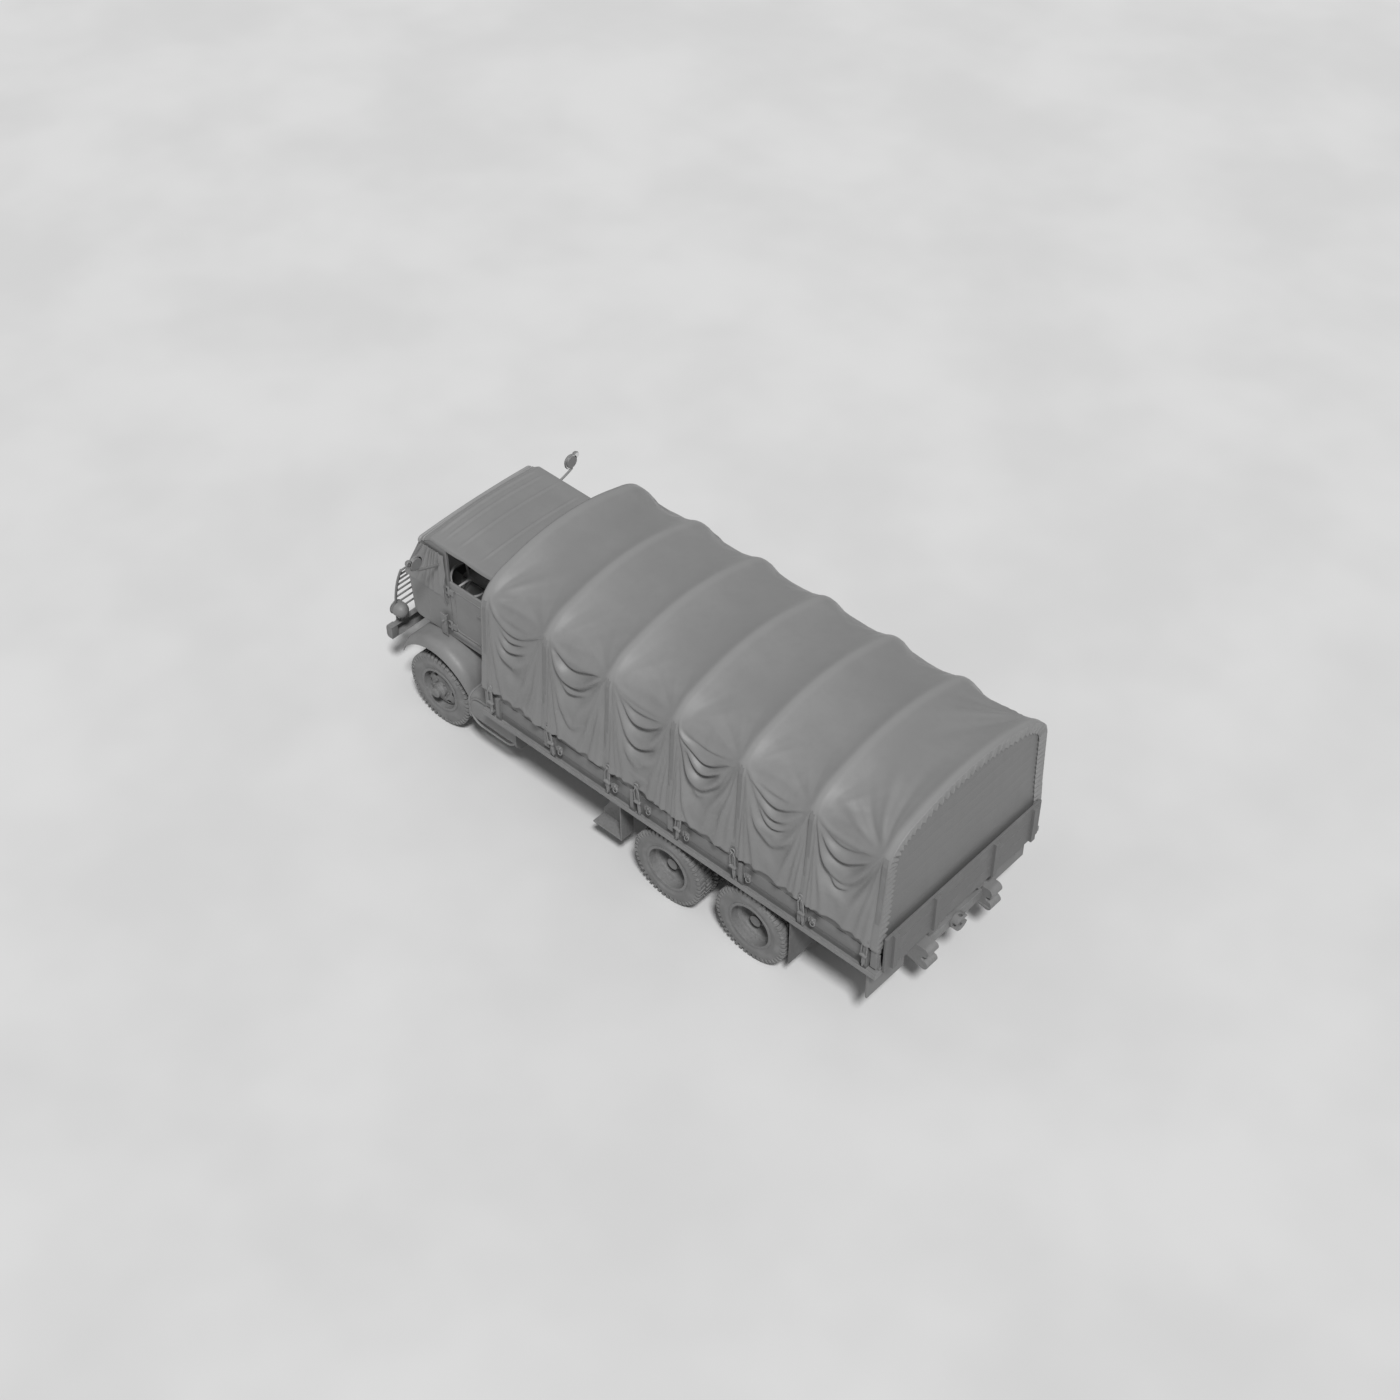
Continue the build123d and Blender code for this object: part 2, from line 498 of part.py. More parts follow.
# Front fenders: a crowned section turned about a line above the axle
FENDER_RADIUS = 576.0
FENDER_AXIS = (AXLE_X + 6, 600.0)
FENDER_START, FENDER_ARC = 16.0, 175.0
FENDER_INNER_Y, FENDER_OUTER_Y = 640.0, 1045.0
FENDER_CROWN = 118.0
FENDER_WALL = 8.0
FENDER_LIP = 24.0
# Wheel arch cut in the outer wall: radius and height of its centre
ARCH_RADIUS, ARCH_Z = 555.0, 512.0
for side_name, side in SIDES:
    direction = (cos(radians(FENDER_START)), 0, sin(radians(FENDER_START)))
    section = Plane(origin=(FENDER_AXIS[0], 0, FENDER_AXIS[1]), x_dir=direction,
                    z_dir=Vector(*direction).cross(Vector(0, side, 0)))
    bend = FENDER_OUTER_Y - FENDER_CROWN
    knee = FENDER_CROWN * sin(radians(45))
    inner = FENDER_CROWN - FENDER_WALL
    inner_knee = inner * sin(radians(45))
    with BuildPart() as fender:
        with BuildSketch(section):
            with BuildLine():
                Polyline((FENDER_RADIUS - FENDER_WALL, bend), (FENDER_RADIUS - FENDER_WALL, FENDER_INNER_Y),
                         (FENDER_RADIUS, FENDER_INNER_Y), (FENDER_RADIUS, bend))
                ThreePointArc((FENDER_RADIUS, bend), (FENDER_RADIUS - FENDER_CROWN + knee, bend + knee),
                              (FENDER_RADIUS - FENDER_CROWN, FENDER_OUTER_Y))
                Polyline((FENDER_RADIUS - FENDER_CROWN, FENDER_OUTER_Y),
                         (FENDER_RADIUS - FENDER_CROWN - FENDER_LIP, FENDER_OUTER_Y),
                         (FENDER_RADIUS - FENDER_CROWN - FENDER_LIP, FENDER_OUTER_Y - FENDER_WALL),
                         (FENDER_RADIUS - FENDER_CROWN, FENDER_OUTER_Y - FENDER_WALL))
                ThreePointArc((FENDER_RADIUS - FENDER_CROWN, FENDER_OUTER_Y - FENDER_WALL),
                              (FENDER_RADIUS - FENDER_CROWN + inner_knee, bend + inner_knee),
                              (FENDER_RADIUS - FENDER_WALL, bend))
            make_face()
        revolve(axis=Axis((FENDER_AXIS[0], 0, FENDER_AXIS[1]), (0, -1, 0)), revolution_arc=FENDER_ARC)
        with Locations((FENDER_AXIS[0], side * (bend + FENDER_CROWN), ARCH_Z)):
            Cylinder(ARCH_RADIUS, 2 * FENDER_CROWN, rotation=(90, 0, 0), mode=Mode.SUBTRACT)
    save(fender, f"fender_{side_name}")

# Radiator between the rails, finned in front
RADIATOR_BACK_X, RADIATOR_FRONT_X = AXLE_X + 500, AXLE_X + 600
RADIATOR_HALF_WIDTH = 470.0
CAB_UNDER_Z = FENDER_AXIS[1] + FENDER_RADIUS + SEAT_GAP
RADIATOR_TOP_Z = CAB_UNDER_Z + 330
RADIATOR_FINS = 14
with BuildPart() as radiator:
    height = RADIATOR_TOP_Z - RAIL_TOP_Z - SEAT_GAP
    with BuildSketch(Plane.XY.offset(RAIL_TOP_Z + SEAT_GAP)):
        with Locations(((RADIATOR_BACK_X + RADIATOR_FRONT_X) / 2, 0)):
            RectangleRounded(RADIATOR_FRONT_X - RADIATOR_BACK_X, 2 * RADIATOR_HALF_WIDTH, 30)
    extrude(amount=height)
    with Locations((RADIATOR_FRONT_X, 0, RAIL_TOP_Z + height / 2)):
        with GridLocations(0, 2 * (RADIATOR_HALF_WIDTH - 60) / RADIATOR_FINS, 1, RADIATOR_FINS):
            Box(36, 26, height - 130, mode=Mode.SUBTRACT)
save(radiator, "radiator")

# Cab nose: rounded shell lofted between two plan outlines, slotted in front, open below and behind
COWL_Z = 1690.0
NOSE_BACK_X = AXLE_X + 250
# Plan outlines: height, front station, corner radius
NOSE_PLANS = ((CAB_UNDER_Z, AXLE_X + 700, 300.0), (COWL_Z, AXLE_X + 645, 150.0))
NOSE_WALL = 24.0
GRILLE_SLOTS = 7
GRILLE_PITCH = 54.0
GRILLE_HALF_WIDTH = 400.0
with BuildPart() as nose:
    for inset, mode in ((0.0, Mode.ADD), (NOSE_WALL, Mode.SUBTRACT)):
        back = NOSE_BACK_X - (40 if inset else 0)
        for z, front, corner in NOSE_PLANS:
            half = CAB_HALF_WIDTH - inset
            with BuildSketch(Plane.XY.offset(z - inset)):
                with BuildLine():
                    FilletPolyline((back, -half), (front - inset, -half), (front - inset, half), (back, half),
                                   radius=corner - inset)
                    Line((back, half), (back, -half))
                make_face()
        loft(ruled=True, mode=mode)
    for i in range(GRILLE_SLOTS):
        with BuildSketch(cross_plane(NOSE_BACK_X + 200)):
            with Locations((0, CAB_UNDER_Z + 90 + GRILLE_PITCH * i)):
                SlotOverall(2 * GRILLE_HALF_WIDTH, 26)
        extrude(amount=400, mode=Mode.SUBTRACT)
save(nose, "nose")

# Cab floor with the engine hump
CAB_BACK_X = AXLE_X - 850
CAB_INNER_Y = CAB_HALF_WIDTH - CAB_WALL - SEAT_GAP
FLOOR_PLATE = 30.0
HUMP_HALF_WIDTH = 330.0
HUMP_TOP_Z = 1545.0
HUMP_BACK_X = ENGINE_BACK_X - 60
HUMP_WALL = 18.0
FLOOR_TOP_Z = CAB_UNDER_Z + FLOOR_PLATE
SEAT_Y = 555.0
SEAT_WIDTH = 400.0
SEAT_DEPTH = 460.0
SEAT_BOX_TOP_Z = 1510.0
SEAT_BACK_X = CAB_BACK_X + CAB_WALL + SEAT_GAP
CAB_MOUNT = 70.0            # square posts between the rails and the cab
CAB_MOUNT_XS = (AXLE_X + 120, AXLE_X - 700)
with BuildPart() as cab_floor:
    with BuildSketch(Plane.XY.offset(CAB_UNDER_Z)):
        with Locations(((CAB_BACK_X + NOSE_BACK_X - SEAT_GAP) / 2, 0)):
            Rectangle(NOSE_BACK_X - SEAT_GAP - CAB_BACK_X, 2 * CAB_INNER_Y)
    extrude(amount=FLOOR_PLATE)
    with BuildSketch(cross_plane(HUMP_BACK_X)):
        with Locations((0, (CAB_UNDER_Z + HUMP_TOP_Z) / 2)):
            Rectangle(2 * HUMP_HALF_WIDTH, HUMP_TOP_Z - CAB_UNDER_Z)
    extrude(amount=NOSE_BACK_X - SEAT_GAP - HUMP_BACK_X)
    hump_top = cab_floor.faces().sort_by(Axis.Z)[-1]
    fillet(hump_top.edges().filter_by(Axis.X), 70)
    with BuildSketch(cross_plane(HUMP_BACK_X + HUMP_WALL)):
        with Locations((0, (CAB_UNDER_Z + HUMP_TOP_Z) / 2 - HUMP_WALL)):
            Rectangle(2 * (HUMP_HALF_WIDTH - HUMP_WALL), HUMP_TOP_Z - CAB_UNDER_Z)
    extrude(amount=NOSE_BACK_X - HUMP_BACK_X, mode=Mode.SUBTRACT)
    with BuildSketch(Plane.XY.offset(CAB_UNDER_Z)):
        with Locations((SEAT_BACK_X + SEAT_DEPTH / 2, SEAT_Y), (SEAT_BACK_X + SEAT_DEPTH / 2, -SEAT_Y)):
            Rectangle(SEAT_DEPTH, SEAT_WIDTH - 20)
    extrude(amount=SEAT_BOX_TOP_Z - CAB_UNDER_Z)
    with BuildSketch(Plane.XY.offset(RAIL_TOP_Z + SEAT_GAP)):
        with Locations([(x, side * SPRING_Y) for x in CAB_MOUNT_XS for side in (LEFT, RIGHT)]):
            Rectangle(CAB_MOUNT, CAB_MOUNT)
    extrude(amount=CAB_UNDER_Z - RAIL_TOP_Z - SEAT_GAP)
save(cab_floor, "cab_floor")

# Windscreen: raked frame with two panes
SCREEN_FOOT = (AXLE_X + 618, COWL_Z + SEAT_GAP)
SCREEN_HEAD = (AXLE_X + 290, 2318.0)
SCREEN_FRAME = 46.0
SCREEN_THICK = 30.0
screen_up = Vector(SCREEN_HEAD[0] - SCREEN_FOOT[0], 0, SCREEN_HEAD[1] - SCREEN_FOOT[1])
SCREEN_HEIGHT = screen_up.length
SCREEN_PLANE = Plane(origin=(SCREEN_FOOT[0], 0, SCREEN_FOOT[1]), x_dir=(0, 1, 0),
                     z_dir=Vector(0, 1, 0).cross(screen_up))
PANE_WIDTH = CAB_INNER_Y - 1.5 * SCREEN_FRAME
PANE_HEIGHT = SCREEN_HEIGHT - 2 * SCREEN_FRAME
PANE_Y = (PANE_WIDTH + SCREEN_FRAME) / 2
LIFT = 12.0                 # raises the frame's lower edge clear of the cowl
with BuildPart() as windscreen_frame:
    with BuildSketch(SCREEN_PLANE.offset(-SCREEN_THICK / 2)):
        with Locations((0, SCREEN_HEIGHT / 2 + LIFT)):
            RectangleRounded(2 * CAB_INNER_Y, SCREEN_HEIGHT, 60)
        with Locations((PANE_Y, SCREEN_HEIGHT / 2 + LIFT), (-PANE_Y, SCREEN_HEIGHT / 2 + LIFT)):
            RectangleRounded(PANE_WIDTH, PANE_HEIGHT, 40, mode=Mode.SUBTRACT)
    extrude(amount=SCREEN_THICK)
save(windscreen_frame, "windscreen_frame")

GLASS = 7.0
with BuildPart() as windscreen_glass:
    with BuildSketch(SCREEN_PLANE.offset(-GLASS / 2)):
        with Locations((PANE_Y, SCREEN_HEIGHT / 2 + LIFT), (-PANE_Y, SCREEN_HEIGHT / 2 + LIFT)):
            RectangleRounded(PANE_WIDTH - 2 * SEAT_GAP, PANE_HEIGHT - 2 * SEAT_GAP, 40)
    extrude(amount=GLASS)
save(windscreen_glass, "windscreen_glass")

# Cab sides: front quarter, sill, rear post and eave round the door opening
DOOR_FRONT_X, DOOR_REAR_X = AXLE_X - 105, AXLE_X - 770
OPENING_TOP_Z = 2390.0
HINGE_Y = CAB_HALF_WIDTH + 17
HINGE_X = DOOR_FRONT_X - DOOR_GAP / 2
HINGE_ZS = (CAB_SILL_Z + 110, DOOR_TOP_Z - 120)
HINGE_PIN = 6.0
HINGE_BARREL = 13.0
HINGE_HALF = 34.0
HINGE_EAR = 14.0
for side_name, side in SIDES:
    outer_y = side * CAB_HALF_WIDTH
    start_y = outer_y if side > 0 else outer_y + CAB_WALL
    with BuildPart() as cab_side:
        with BuildSketch(side_plane(start_y)):
            with BuildLine():
                Polyline([(CAB_BACK_X, CAB_UNDER_Z), (NOSE_BACK_X - SEAT_GAP, CAB_UNDER_Z),
                          (NOSE_BACK_X - SEAT_GAP, COWL_Z + SEAT_GAP), (SCREEN_FOOT[0], COWL_Z + SEAT_GAP),
                          (SCREEN_HEAD[0], SCREEN_HEAD[1] - 10), (AXLE_X + 123, CAB_EAVE_Z - 20),
                          (CAB_BACK_X, CAB_EAVE_Z - 40)], close=True)
            make_face()
            with BuildLine():
                Polyline([(DOOR_REAR_X, CAB_SILL_Z), (DOOR_FRONT_X, CAB_SILL_Z), (DOOR_FRONT_X, OPENING_TOP_Z),
                          (DOOR_REAR_X, OPENING_TOP_Z)], close=True)
            make_face(mode=Mode.SUBTRACT)
        extrude(amount=CAB_WALL)
        for z in HINGE_ZS:
            for ear_z in (z - HINGE_HALF - HINGE_EAR / 2 - 0.5, z + HINGE_HALF + HINGE_EAR / 2 + 0.5):
                with Locations((HINGE_X, side * HINGE_Y, ear_z)):
                    Cylinder(HINGE_BARREL, HINGE_EAR)
                with Locations((HINGE_X + 32, side * (CAB_HALF_WIDTH + 8), ear_z)):
                    Box(64, 18, HINGE_EAR)
            with Locations((HINGE_X, side * HINGE_Y, z)):
                Cylinder(HINGE_PIN, 2 * (HINGE_HALF + HINGE_EAR))
    save(cab_side, f"cab_side_{side_name}")

# Half-height cab doors on outside hinges, with a rolled top rail and a handle
DOOR_RAIL = 15.0
for side_name, side in SIDES:
    outer_y = side * CAB_HALF_WIDTH
    start_y = outer_y if side > 0 else outer_y + CAB_WALL
    with BuildPart() as door:
        with BuildSketch(side_plane(start_y)):
            with BuildLine():
                Polyline([(DOOR_REAR_X + DOOR_GAP, CAB_SILL_Z + DOOR_GAP), (DOOR_FRONT_X - DOOR_GAP, CAB_SILL_Z + DOOR_GAP),
                          (DOOR_FRONT_X - DOOR_GAP, DOOR_TOP_Z), (DOOR_REAR_X + DOOR_GAP, DOOR_TOP_Z)], close=True)
            make_face()
        extrude(amount=CAB_WALL)
        shaft((DOOR_REAR_X + DOOR_GAP, side * (CAB_HALF_WIDTH - CAB_WALL / 2), DOOR_TOP_Z),
              (DOOR_FRONT_X - DOOR_GAP, side * (CAB_HALF_WIDTH - CAB_WALL / 2), DOOR_TOP_Z), DOOR_RAIL)
        for z in HINGE_ZS:
            with Locations((HINGE_X - 34, side * (CAB_HALF_WIDTH + 8), z)):
                Box(68, 18, 2 * HINGE_HALF)
            with Locations((HINGE_X, side * HINGE_Y, z)):
                Cylinder(HINGE_BARREL, 2 * HINGE_HALF)
            with Locations((HINGE_X, side * HINGE_Y, z)):
                Cylinder(HINGE_PIN + RUNNING_CLEARANCE, 2 * HINGE_HALF, mode=Mode.SUBTRACT)
        with Locations((DOOR_REAR_X + 70, side * (CAB_HALF_WIDTH + 20), DOOR_TOP_Z - 170)):
            Box(110, 12, 18)
        with Locations((DOOR_REAR_X + 110, side * (CAB_HALF_WIDTH + 10), DOOR_TOP_Z - 170)):
            Box(20, 24, 18)
    save(door, f"door_{side_name}")

# Cab back panel
with BuildPart() as cab_back:
    with BuildSketch(cross_plane(CAB_BACK_X)):
        with Locations((0, (CAB_UNDER_Z + FLOOR_PLATE + SEAT_GAP + DOOR_TOP_Z) / 2)):
            Rectangle(2 * CAB_INNER_Y, DOOR_TOP_Z - CAB_UNDER_Z - FLOOR_PLATE - SEAT_GAP)
    extrude(amount=CAB_WALL)
save(cab_back, "cab_back")

# Seat cushions and backs on each side of the hump
CUSHION = 110.0
for part_name, centre_x, centre_z, depth, height in (
        ("seat_cushions", SEAT_BACK_X + SEAT_DEPTH / 2 + 20, SEAT_BOX_TOP_Z + SEAT_GAP + CUSHION / 2, SEAT_DEPTH - 40, CUSHION),
        ("seat_backs", SEAT_BACK_X + CUSHION / 2, SEAT_BOX_TOP_Z + CUSHION + 240, CUSHION, 430)):
    with BuildPart() as pads:
        with Locations((centre_x, SEAT_Y, centre_z), (centre_x, -SEAT_Y, centre_z)):
            Box(depth, SEAT_WIDTH, height)
        fillet(pads.edges().filter_by(Axis.Y), 40)
    save(pads, part_name)

# Steering wheel on its raked column
WHEEL_CENTRE = Vector(AXLE_X - 90, SEAT_Y - 55, 1795)
COLUMN_FOOT = Vector(AXLE_X + 205, SEAT_Y - 55, FLOOR_TOP_Z + 34)
STEERING_RADIUS = 205.0
STEERING_RIM = 13.0
with BuildPart() as steering_wheel:
    rise = WHEEL_CENTRE - COLUMN_FOOT
    hub_plane = Plane(origin=WHEEL_CENTRE, x_dir=(0, 1, 0), z_dir=rise)
    with Locations(hub_plane):
        Torus(STEERING_RADIUS, STEERING_RIM)
    with Locations(hub_plane):
        with PolarLocations(STEERING_RADIUS / 2, 3):
            Box(STEERING_RADIUS, 22, 14)
    shaft(COLUMN_FOOT, WHEEL_CENTRE + rise.normalized() * 18, 26)
    with Locations((COLUMN_FOOT.X, COLUMN_FOOT.Y, FLOOR_TOP_Z + SEAT_GAP + 30)):
        Box(90, 90, 60)
save(steering_wheel, "steering_wheel")

# Canvas cab roof: skirted sheet with rounded eaves, lofted from the screen back to the cab's rear
ROOF_SHEET = 9.0
ROOF_SKIRT = 36.0
# Sections: station, eave height, top height
ROOF_SECTIONS = ((CAB_BACK_X - 20, CAB_EAVE_Z - 15, CAB_ROOF_Z - 35),
                 (AXLE_X + 123, CAB_EAVE_Z, CAB_ROOF_Z),
                 (AXLE_X + 300, SCREEN_HEAD[1] + 22, SCREEN_HEAD[1] + 44))
ROOF_OPEN = 30.0            # the hollow runs out through both ends and the bottom by this much


def roof_section(x, eave, top, inset):
    """Roof outline at a station: flat top, rounded eaves and a short skirt."""
    half = CAB_HALF_WIDTH + SEAT_GAP + ROOF_SHEET - inset
    flat = half - (top - eave)
    skirt = eave - ROOF_SKIRT - (ROOF_OPEN if inset else 0)
    turn = (top - eave) * (1 - sin(radians(45)))
    with BuildSketch(cross_plane(x)) as outline:
        with BuildLine():
            Polyline((-half, eave), (-half, skirt), (half, skirt), (half, eave))
            ThreePointArc((half, eave), (half - turn, top - turn), (flat, top))
            Line((flat, top), (-flat, top))
            ThreePointArc((-flat, top), (-half + turn, top - turn), (-half, eave))
        make_face()
    return outline.sketch


def roof_shell(inset, reach):
    """Roof body between its sections, the end ones moved out along the slope by the reach."""
    (x0, eave0, top0), (x1, eave1, top1), (x2, eave2, top2) = ROOF_SECTIONS
    rise0, rise2 = reach / (x0 - x1), reach / (x2 - x1)
    back = (x0 - reach, eave0 - (eave0 - eave1) * rise0, top0 - (top0 - top1) * rise0)
    front = (x2 + reach, eave2 + (eave2 - eave1) * rise2, top2 + (top2 - top1) * rise2)
    with BuildPart() as body:
        for x, eave, top in (back, (x1, eave1, top1), front):
            add(roof_section(x, eave - inset, top - inset, inset))
        loft(ruled=True)
    return body.part


with BuildPart() as cab_roof:
    add(roof_shell(0.0, 0.0))
    add(roof_shell(ROOF_SHEET, ROOF_OPEN), mode=Mode.SUBTRACT)
save(cab_roof, "cab_roof")

# Mirrors on long arms from the front posts
MIRROR_Y, MIRROR_Z = 1140.0, 2380.0
MIRROR_X = AXLE_X - 20
MIRROR_RADIUS = 72.0
with BuildPart() as mirrors:
    for side in (LEFT, RIGHT):
        foot = (AXLE_X + 10, side * (CAB_HALF_WIDTH + SEAT_GAP + 7), 2140)
        elbow = (MIRROR_X, side * MIRROR_Y, MIRROR_Z - MIRROR_RADIUS - 18)
        shaft(foot, elbow, 9)
        with Locations(elbow):
            Sphere(13)
        shaft(elbow, (MIRROR_X, side * MIRROR_Y, MIRROR_Z), 8)
        with BuildSketch(cross_plane(MIRROR_X - 12)):
            with Locations((side * MIRROR_Y, MIRROR_Z)):
                Circle(MIRROR_RADIUS)
        extrude(amount=24)
        with Locations(foot):
            Box(50, 14, 90)
save(mirrors, "mirrors")

# Bed frame: side troughs and end sills on cross-sills, over two long sills on the chassis
LONG_SILL_WIDTH = 74.0
CROSS_SILLS = 9
CROSS_SILL_WIDTH = 78.0
SILL_TOP_Z = FLOOR_Z - FLOOR_THICKNESS - SEAT_GAP
END_SILL = 120.0
SIDE_RAIL_WALL = 10.0
TROUGH_Z = SIDE_RAIL_BOTTOM_Z + SIDE_RAIL_WALL
RAIL_INSIDE_Y = BED_HALF_WIDTH - SIDE_RAIL_LEDGE
GATE_HINGE_X = BED_REAR_X - 22
GATE_HINGE_Z = SIDE_RAIL_BOTTOM_Z + 40
GATE_HINGES = (-900.0, -300.0, 300.0, 900.0)
GATE_PIN = 7.0
GATE_BARREL = 14.0
GATE_BARREL_HALF = 40.0
GATE_EAR = 14.0
with BuildPart() as bed_frame:
    with BuildSketch(Plane.XY.offset(RAIL_TOP_Z + SEAT_GAP)):
        with Locations((BED_MID_X, SPRING_Y), (BED_MID_X, -SPRING_Y)):
            Rectangle(BED_LENGTH - 40, LONG_SILL_WIDTH)
    extrude(amount=SIDE_RAIL_BOTTOM_Z - RAIL_TOP_Z)
    with BuildSketch(Plane.XY.offset(SIDE_RAIL_BOTTOM_Z)):
        with Locations((BED_MID_X, 0)):
            with GridLocations((BED_LENGTH - 2 * END_SILL) / (CROSS_SILLS + 1), 0, CROSS_SILLS, 1):
                Rectangle(CROSS_SILL_WIDTH, 2 * RAIL_INSIDE_Y)
        with Locations((BED_FRONT_X - END_SILL / 2, 0), (BED_REAR_X + END_SILL / 2, 0)):
            Rectangle(END_SILL, 2 * (BED_HALF_WIDTH - SIDE_RAIL_WALL))
    extrude(amount=SILL_TOP_Z - SIDE_RAIL_BOTTOM_Z)
    for side in (LEFT, RIGHT):
        with BuildSketch(cross_plane(BED_REAR_X)):
            with BuildLine():
                outer, inner = BED_HALF_WIDTH, RAIL_INSIDE_Y
                low, lip = SIDE_RAIL_BOTTOM_Z, SIDE_RAIL_BOTTOM_Z + SIDE_RAIL_LIP
                trough = [(outer, low), (outer, lip), (outer - SIDE_RAIL_WALL, lip), (outer - SIDE_RAIL_WALL, TROUGH_Z),
                          (inner, TROUGH_Z), (inner, SILL_TOP_Z), (inner - SIDE_RAIL_WALL, SILL_TOP_Z),
                          (inner - SIDE_RAIL_WALL, low)]
                Polyline([(side * y, z) for y, z in trough], close=True)
            make_face()
        extrude(amount=BED_LENGTH)
    for y in GATE_HINGES:
        for ear_y in (y - GATE_BARREL_HALF - GATE_EAR / 2 - 0.5, y + GATE_BARREL_HALF + GATE_EAR / 2 + 0.5):
            with Locations((GATE_HINGE_X, ear_y, GATE_HINGE_Z)):
                Cylinder(GATE_BARREL, GATE_EAR, rotation=(90, 0, 0))
            with Locations(((GATE_HINGE_X + BED_REAR_X) / 2 + 4, ear_y, GATE_HINGE_Z)):
                Box(BED_REAR_X - GATE_HINGE_X + 8, GATE_EAR, 2 * GATE_BARREL)
        with Locations((GATE_HINGE_X, y, GATE_HINGE_Z)):
            Cylinder(GATE_PIN, 2 * (GATE_BARREL_HALF + GATE_EAR), rotation=(90, 0, 0))
save(bed_frame, "bed_frame")

# Bed floor: long planks between the side channels, ending behind the headboard
PLANKS = 12
PLANK_GAP, PLANK_GROOVE = 4.0, 10.0
SLAT = 24.0
HEADBOARD_INSET = 40.0
HEADBOARD_POST, HEADBOARD_POST_WIDTH = 36.0, 60.0
FLOOR_FRONT_X = BED_FRONT_X - HEADBOARD_INSET - SLAT - HEADBOARD_POST - 4
FLOOR_LENGTH = FLOOR_FRONT_X - BED_REAR_X
FLOOR_MID_X = (FLOOR_FRONT_X + BED_REAR_X) / 2
FLOOR_HALF_WIDTH = RAIL_INSIDE_Y - SEAT_GAP
with BuildPart() as bed_floor:
    with BuildSketch(Plane.XY.offset(FLOOR_Z - FLOOR_THICKNESS)):
        with Locations((FLOOR_MID_X, 0)):
            Rectangle(FLOOR_LENGTH, 2 * FLOOR_HALF_WIDTH)
    extrude(amount=FLOOR_THICKNESS)
    with BuildSketch(Plane.XY.offset(FLOOR_Z - PLANK_GROOVE)):
        with Locations((FLOOR_MID_X, 0)):
            with GridLocations(0, 2 * FLOOR_HALF_WIDTH / PLANKS, 1, PLANKS - 1):
                Rectangle(FLOOR_LENGTH, PLANK_GAP)
    extrude(amount=PLANK_GROOVE, mode=Mode.SUBTRACT)
save(bed_floor, "bed_floor")

# Bed sides: slats carried by posts in the trough, with a stake under each bow
STAKE_DEPTH, STAKE_WIDTH = 30.0, 70.0
STAKE_Y = RAIL_INSIDE_Y + STAKE_DEPTH / 2 + 4
SLAT_Y = STAKE_Y - STAKE_DEPTH / 2 - SLAT / 2
# Slats: lower edge above the ledge, height
SLATS = ((8.0, 170.0), (214.0, 200.0))
SIDE_LENGTH = BED_LENGTH - 2 * 12
STAKE_FOOT_Z = LEDGE_Z + SLATS[0][0]
POST_DEPTH, POST_WIDTH = 38.0, 46.0
POST_TOP_Z = 1320.0
# Posts: share of the bed's length behind its front
POSTS = (0.038, 0.189, 0.402, 0.676, 0.818, 0.972)
for side_name, side in SIDES:
    with BuildPart() as bed_side:
        for lower, height in SLATS:
            with Locations((BED_MID_X, side * SLAT_Y, LEDGE_Z + lower + height / 2)):
                Box(SIDE_LENGTH, SLAT, height)
        with Locations([(x, side * STAKE_Y, (STAKE_FOOT_Z + STAKE_TOP_Z) / 2) for x in BOW_XS]):
            Box(STAKE_WIDTH, STAKE_DEPTH, STAKE_TOP_Z - STAKE_FOOT_Z)
        post_y = STAKE_Y + (POST_DEPTH - STAKE_DEPTH) / 2
        post_xs = [BED_FRONT_X - share * BED_LENGTH for share in POSTS]
        with Locations([(x, side * post_y, (TROUGH_Z + SEAT_GAP + POST_TOP_Z) / 2) for x in post_xs]):
            Box(POST_WIDTH, POST_DEPTH, POST_TOP_Z - TROUGH_Z - SEAT_GAP)
    save(bed_side, f"bed_side_{side_name}")

# Headboard at the front of the bed, its posts on the end sill
HEADBOARD_HALF = SLAT_Y - SLAT / 2 - SEAT_GAP
with BuildPart() as headboard:
    for lower, height in SLATS:
        with Locations((BED_FRONT_X - HEADBOARD_INSET - SLAT / 2, 0, LEDGE_Z + lower + height / 2)):
            Box(SLAT, 2 * HEADBOARD_HALF, height)
    post_x = BED_FRONT_X - HEADBOARD_INSET - SLAT - HEADBOARD_POST / 2
    with Locations((post_x, 0, (SILL_TOP_Z + SEAT_GAP + STAKE_TOP_Z) / 2)):
        with GridLocations(0, (2 * HEADBOARD_HALF - HEADBOARD_POST_WIDTH) / 4, 1, 5):
            Box(HEADBOARD_POST, HEADBOARD_POST_WIDTH, STAKE_TOP_Z - SILL_TOP_Z - SEAT_GAP)
save(headboard, "headboard")

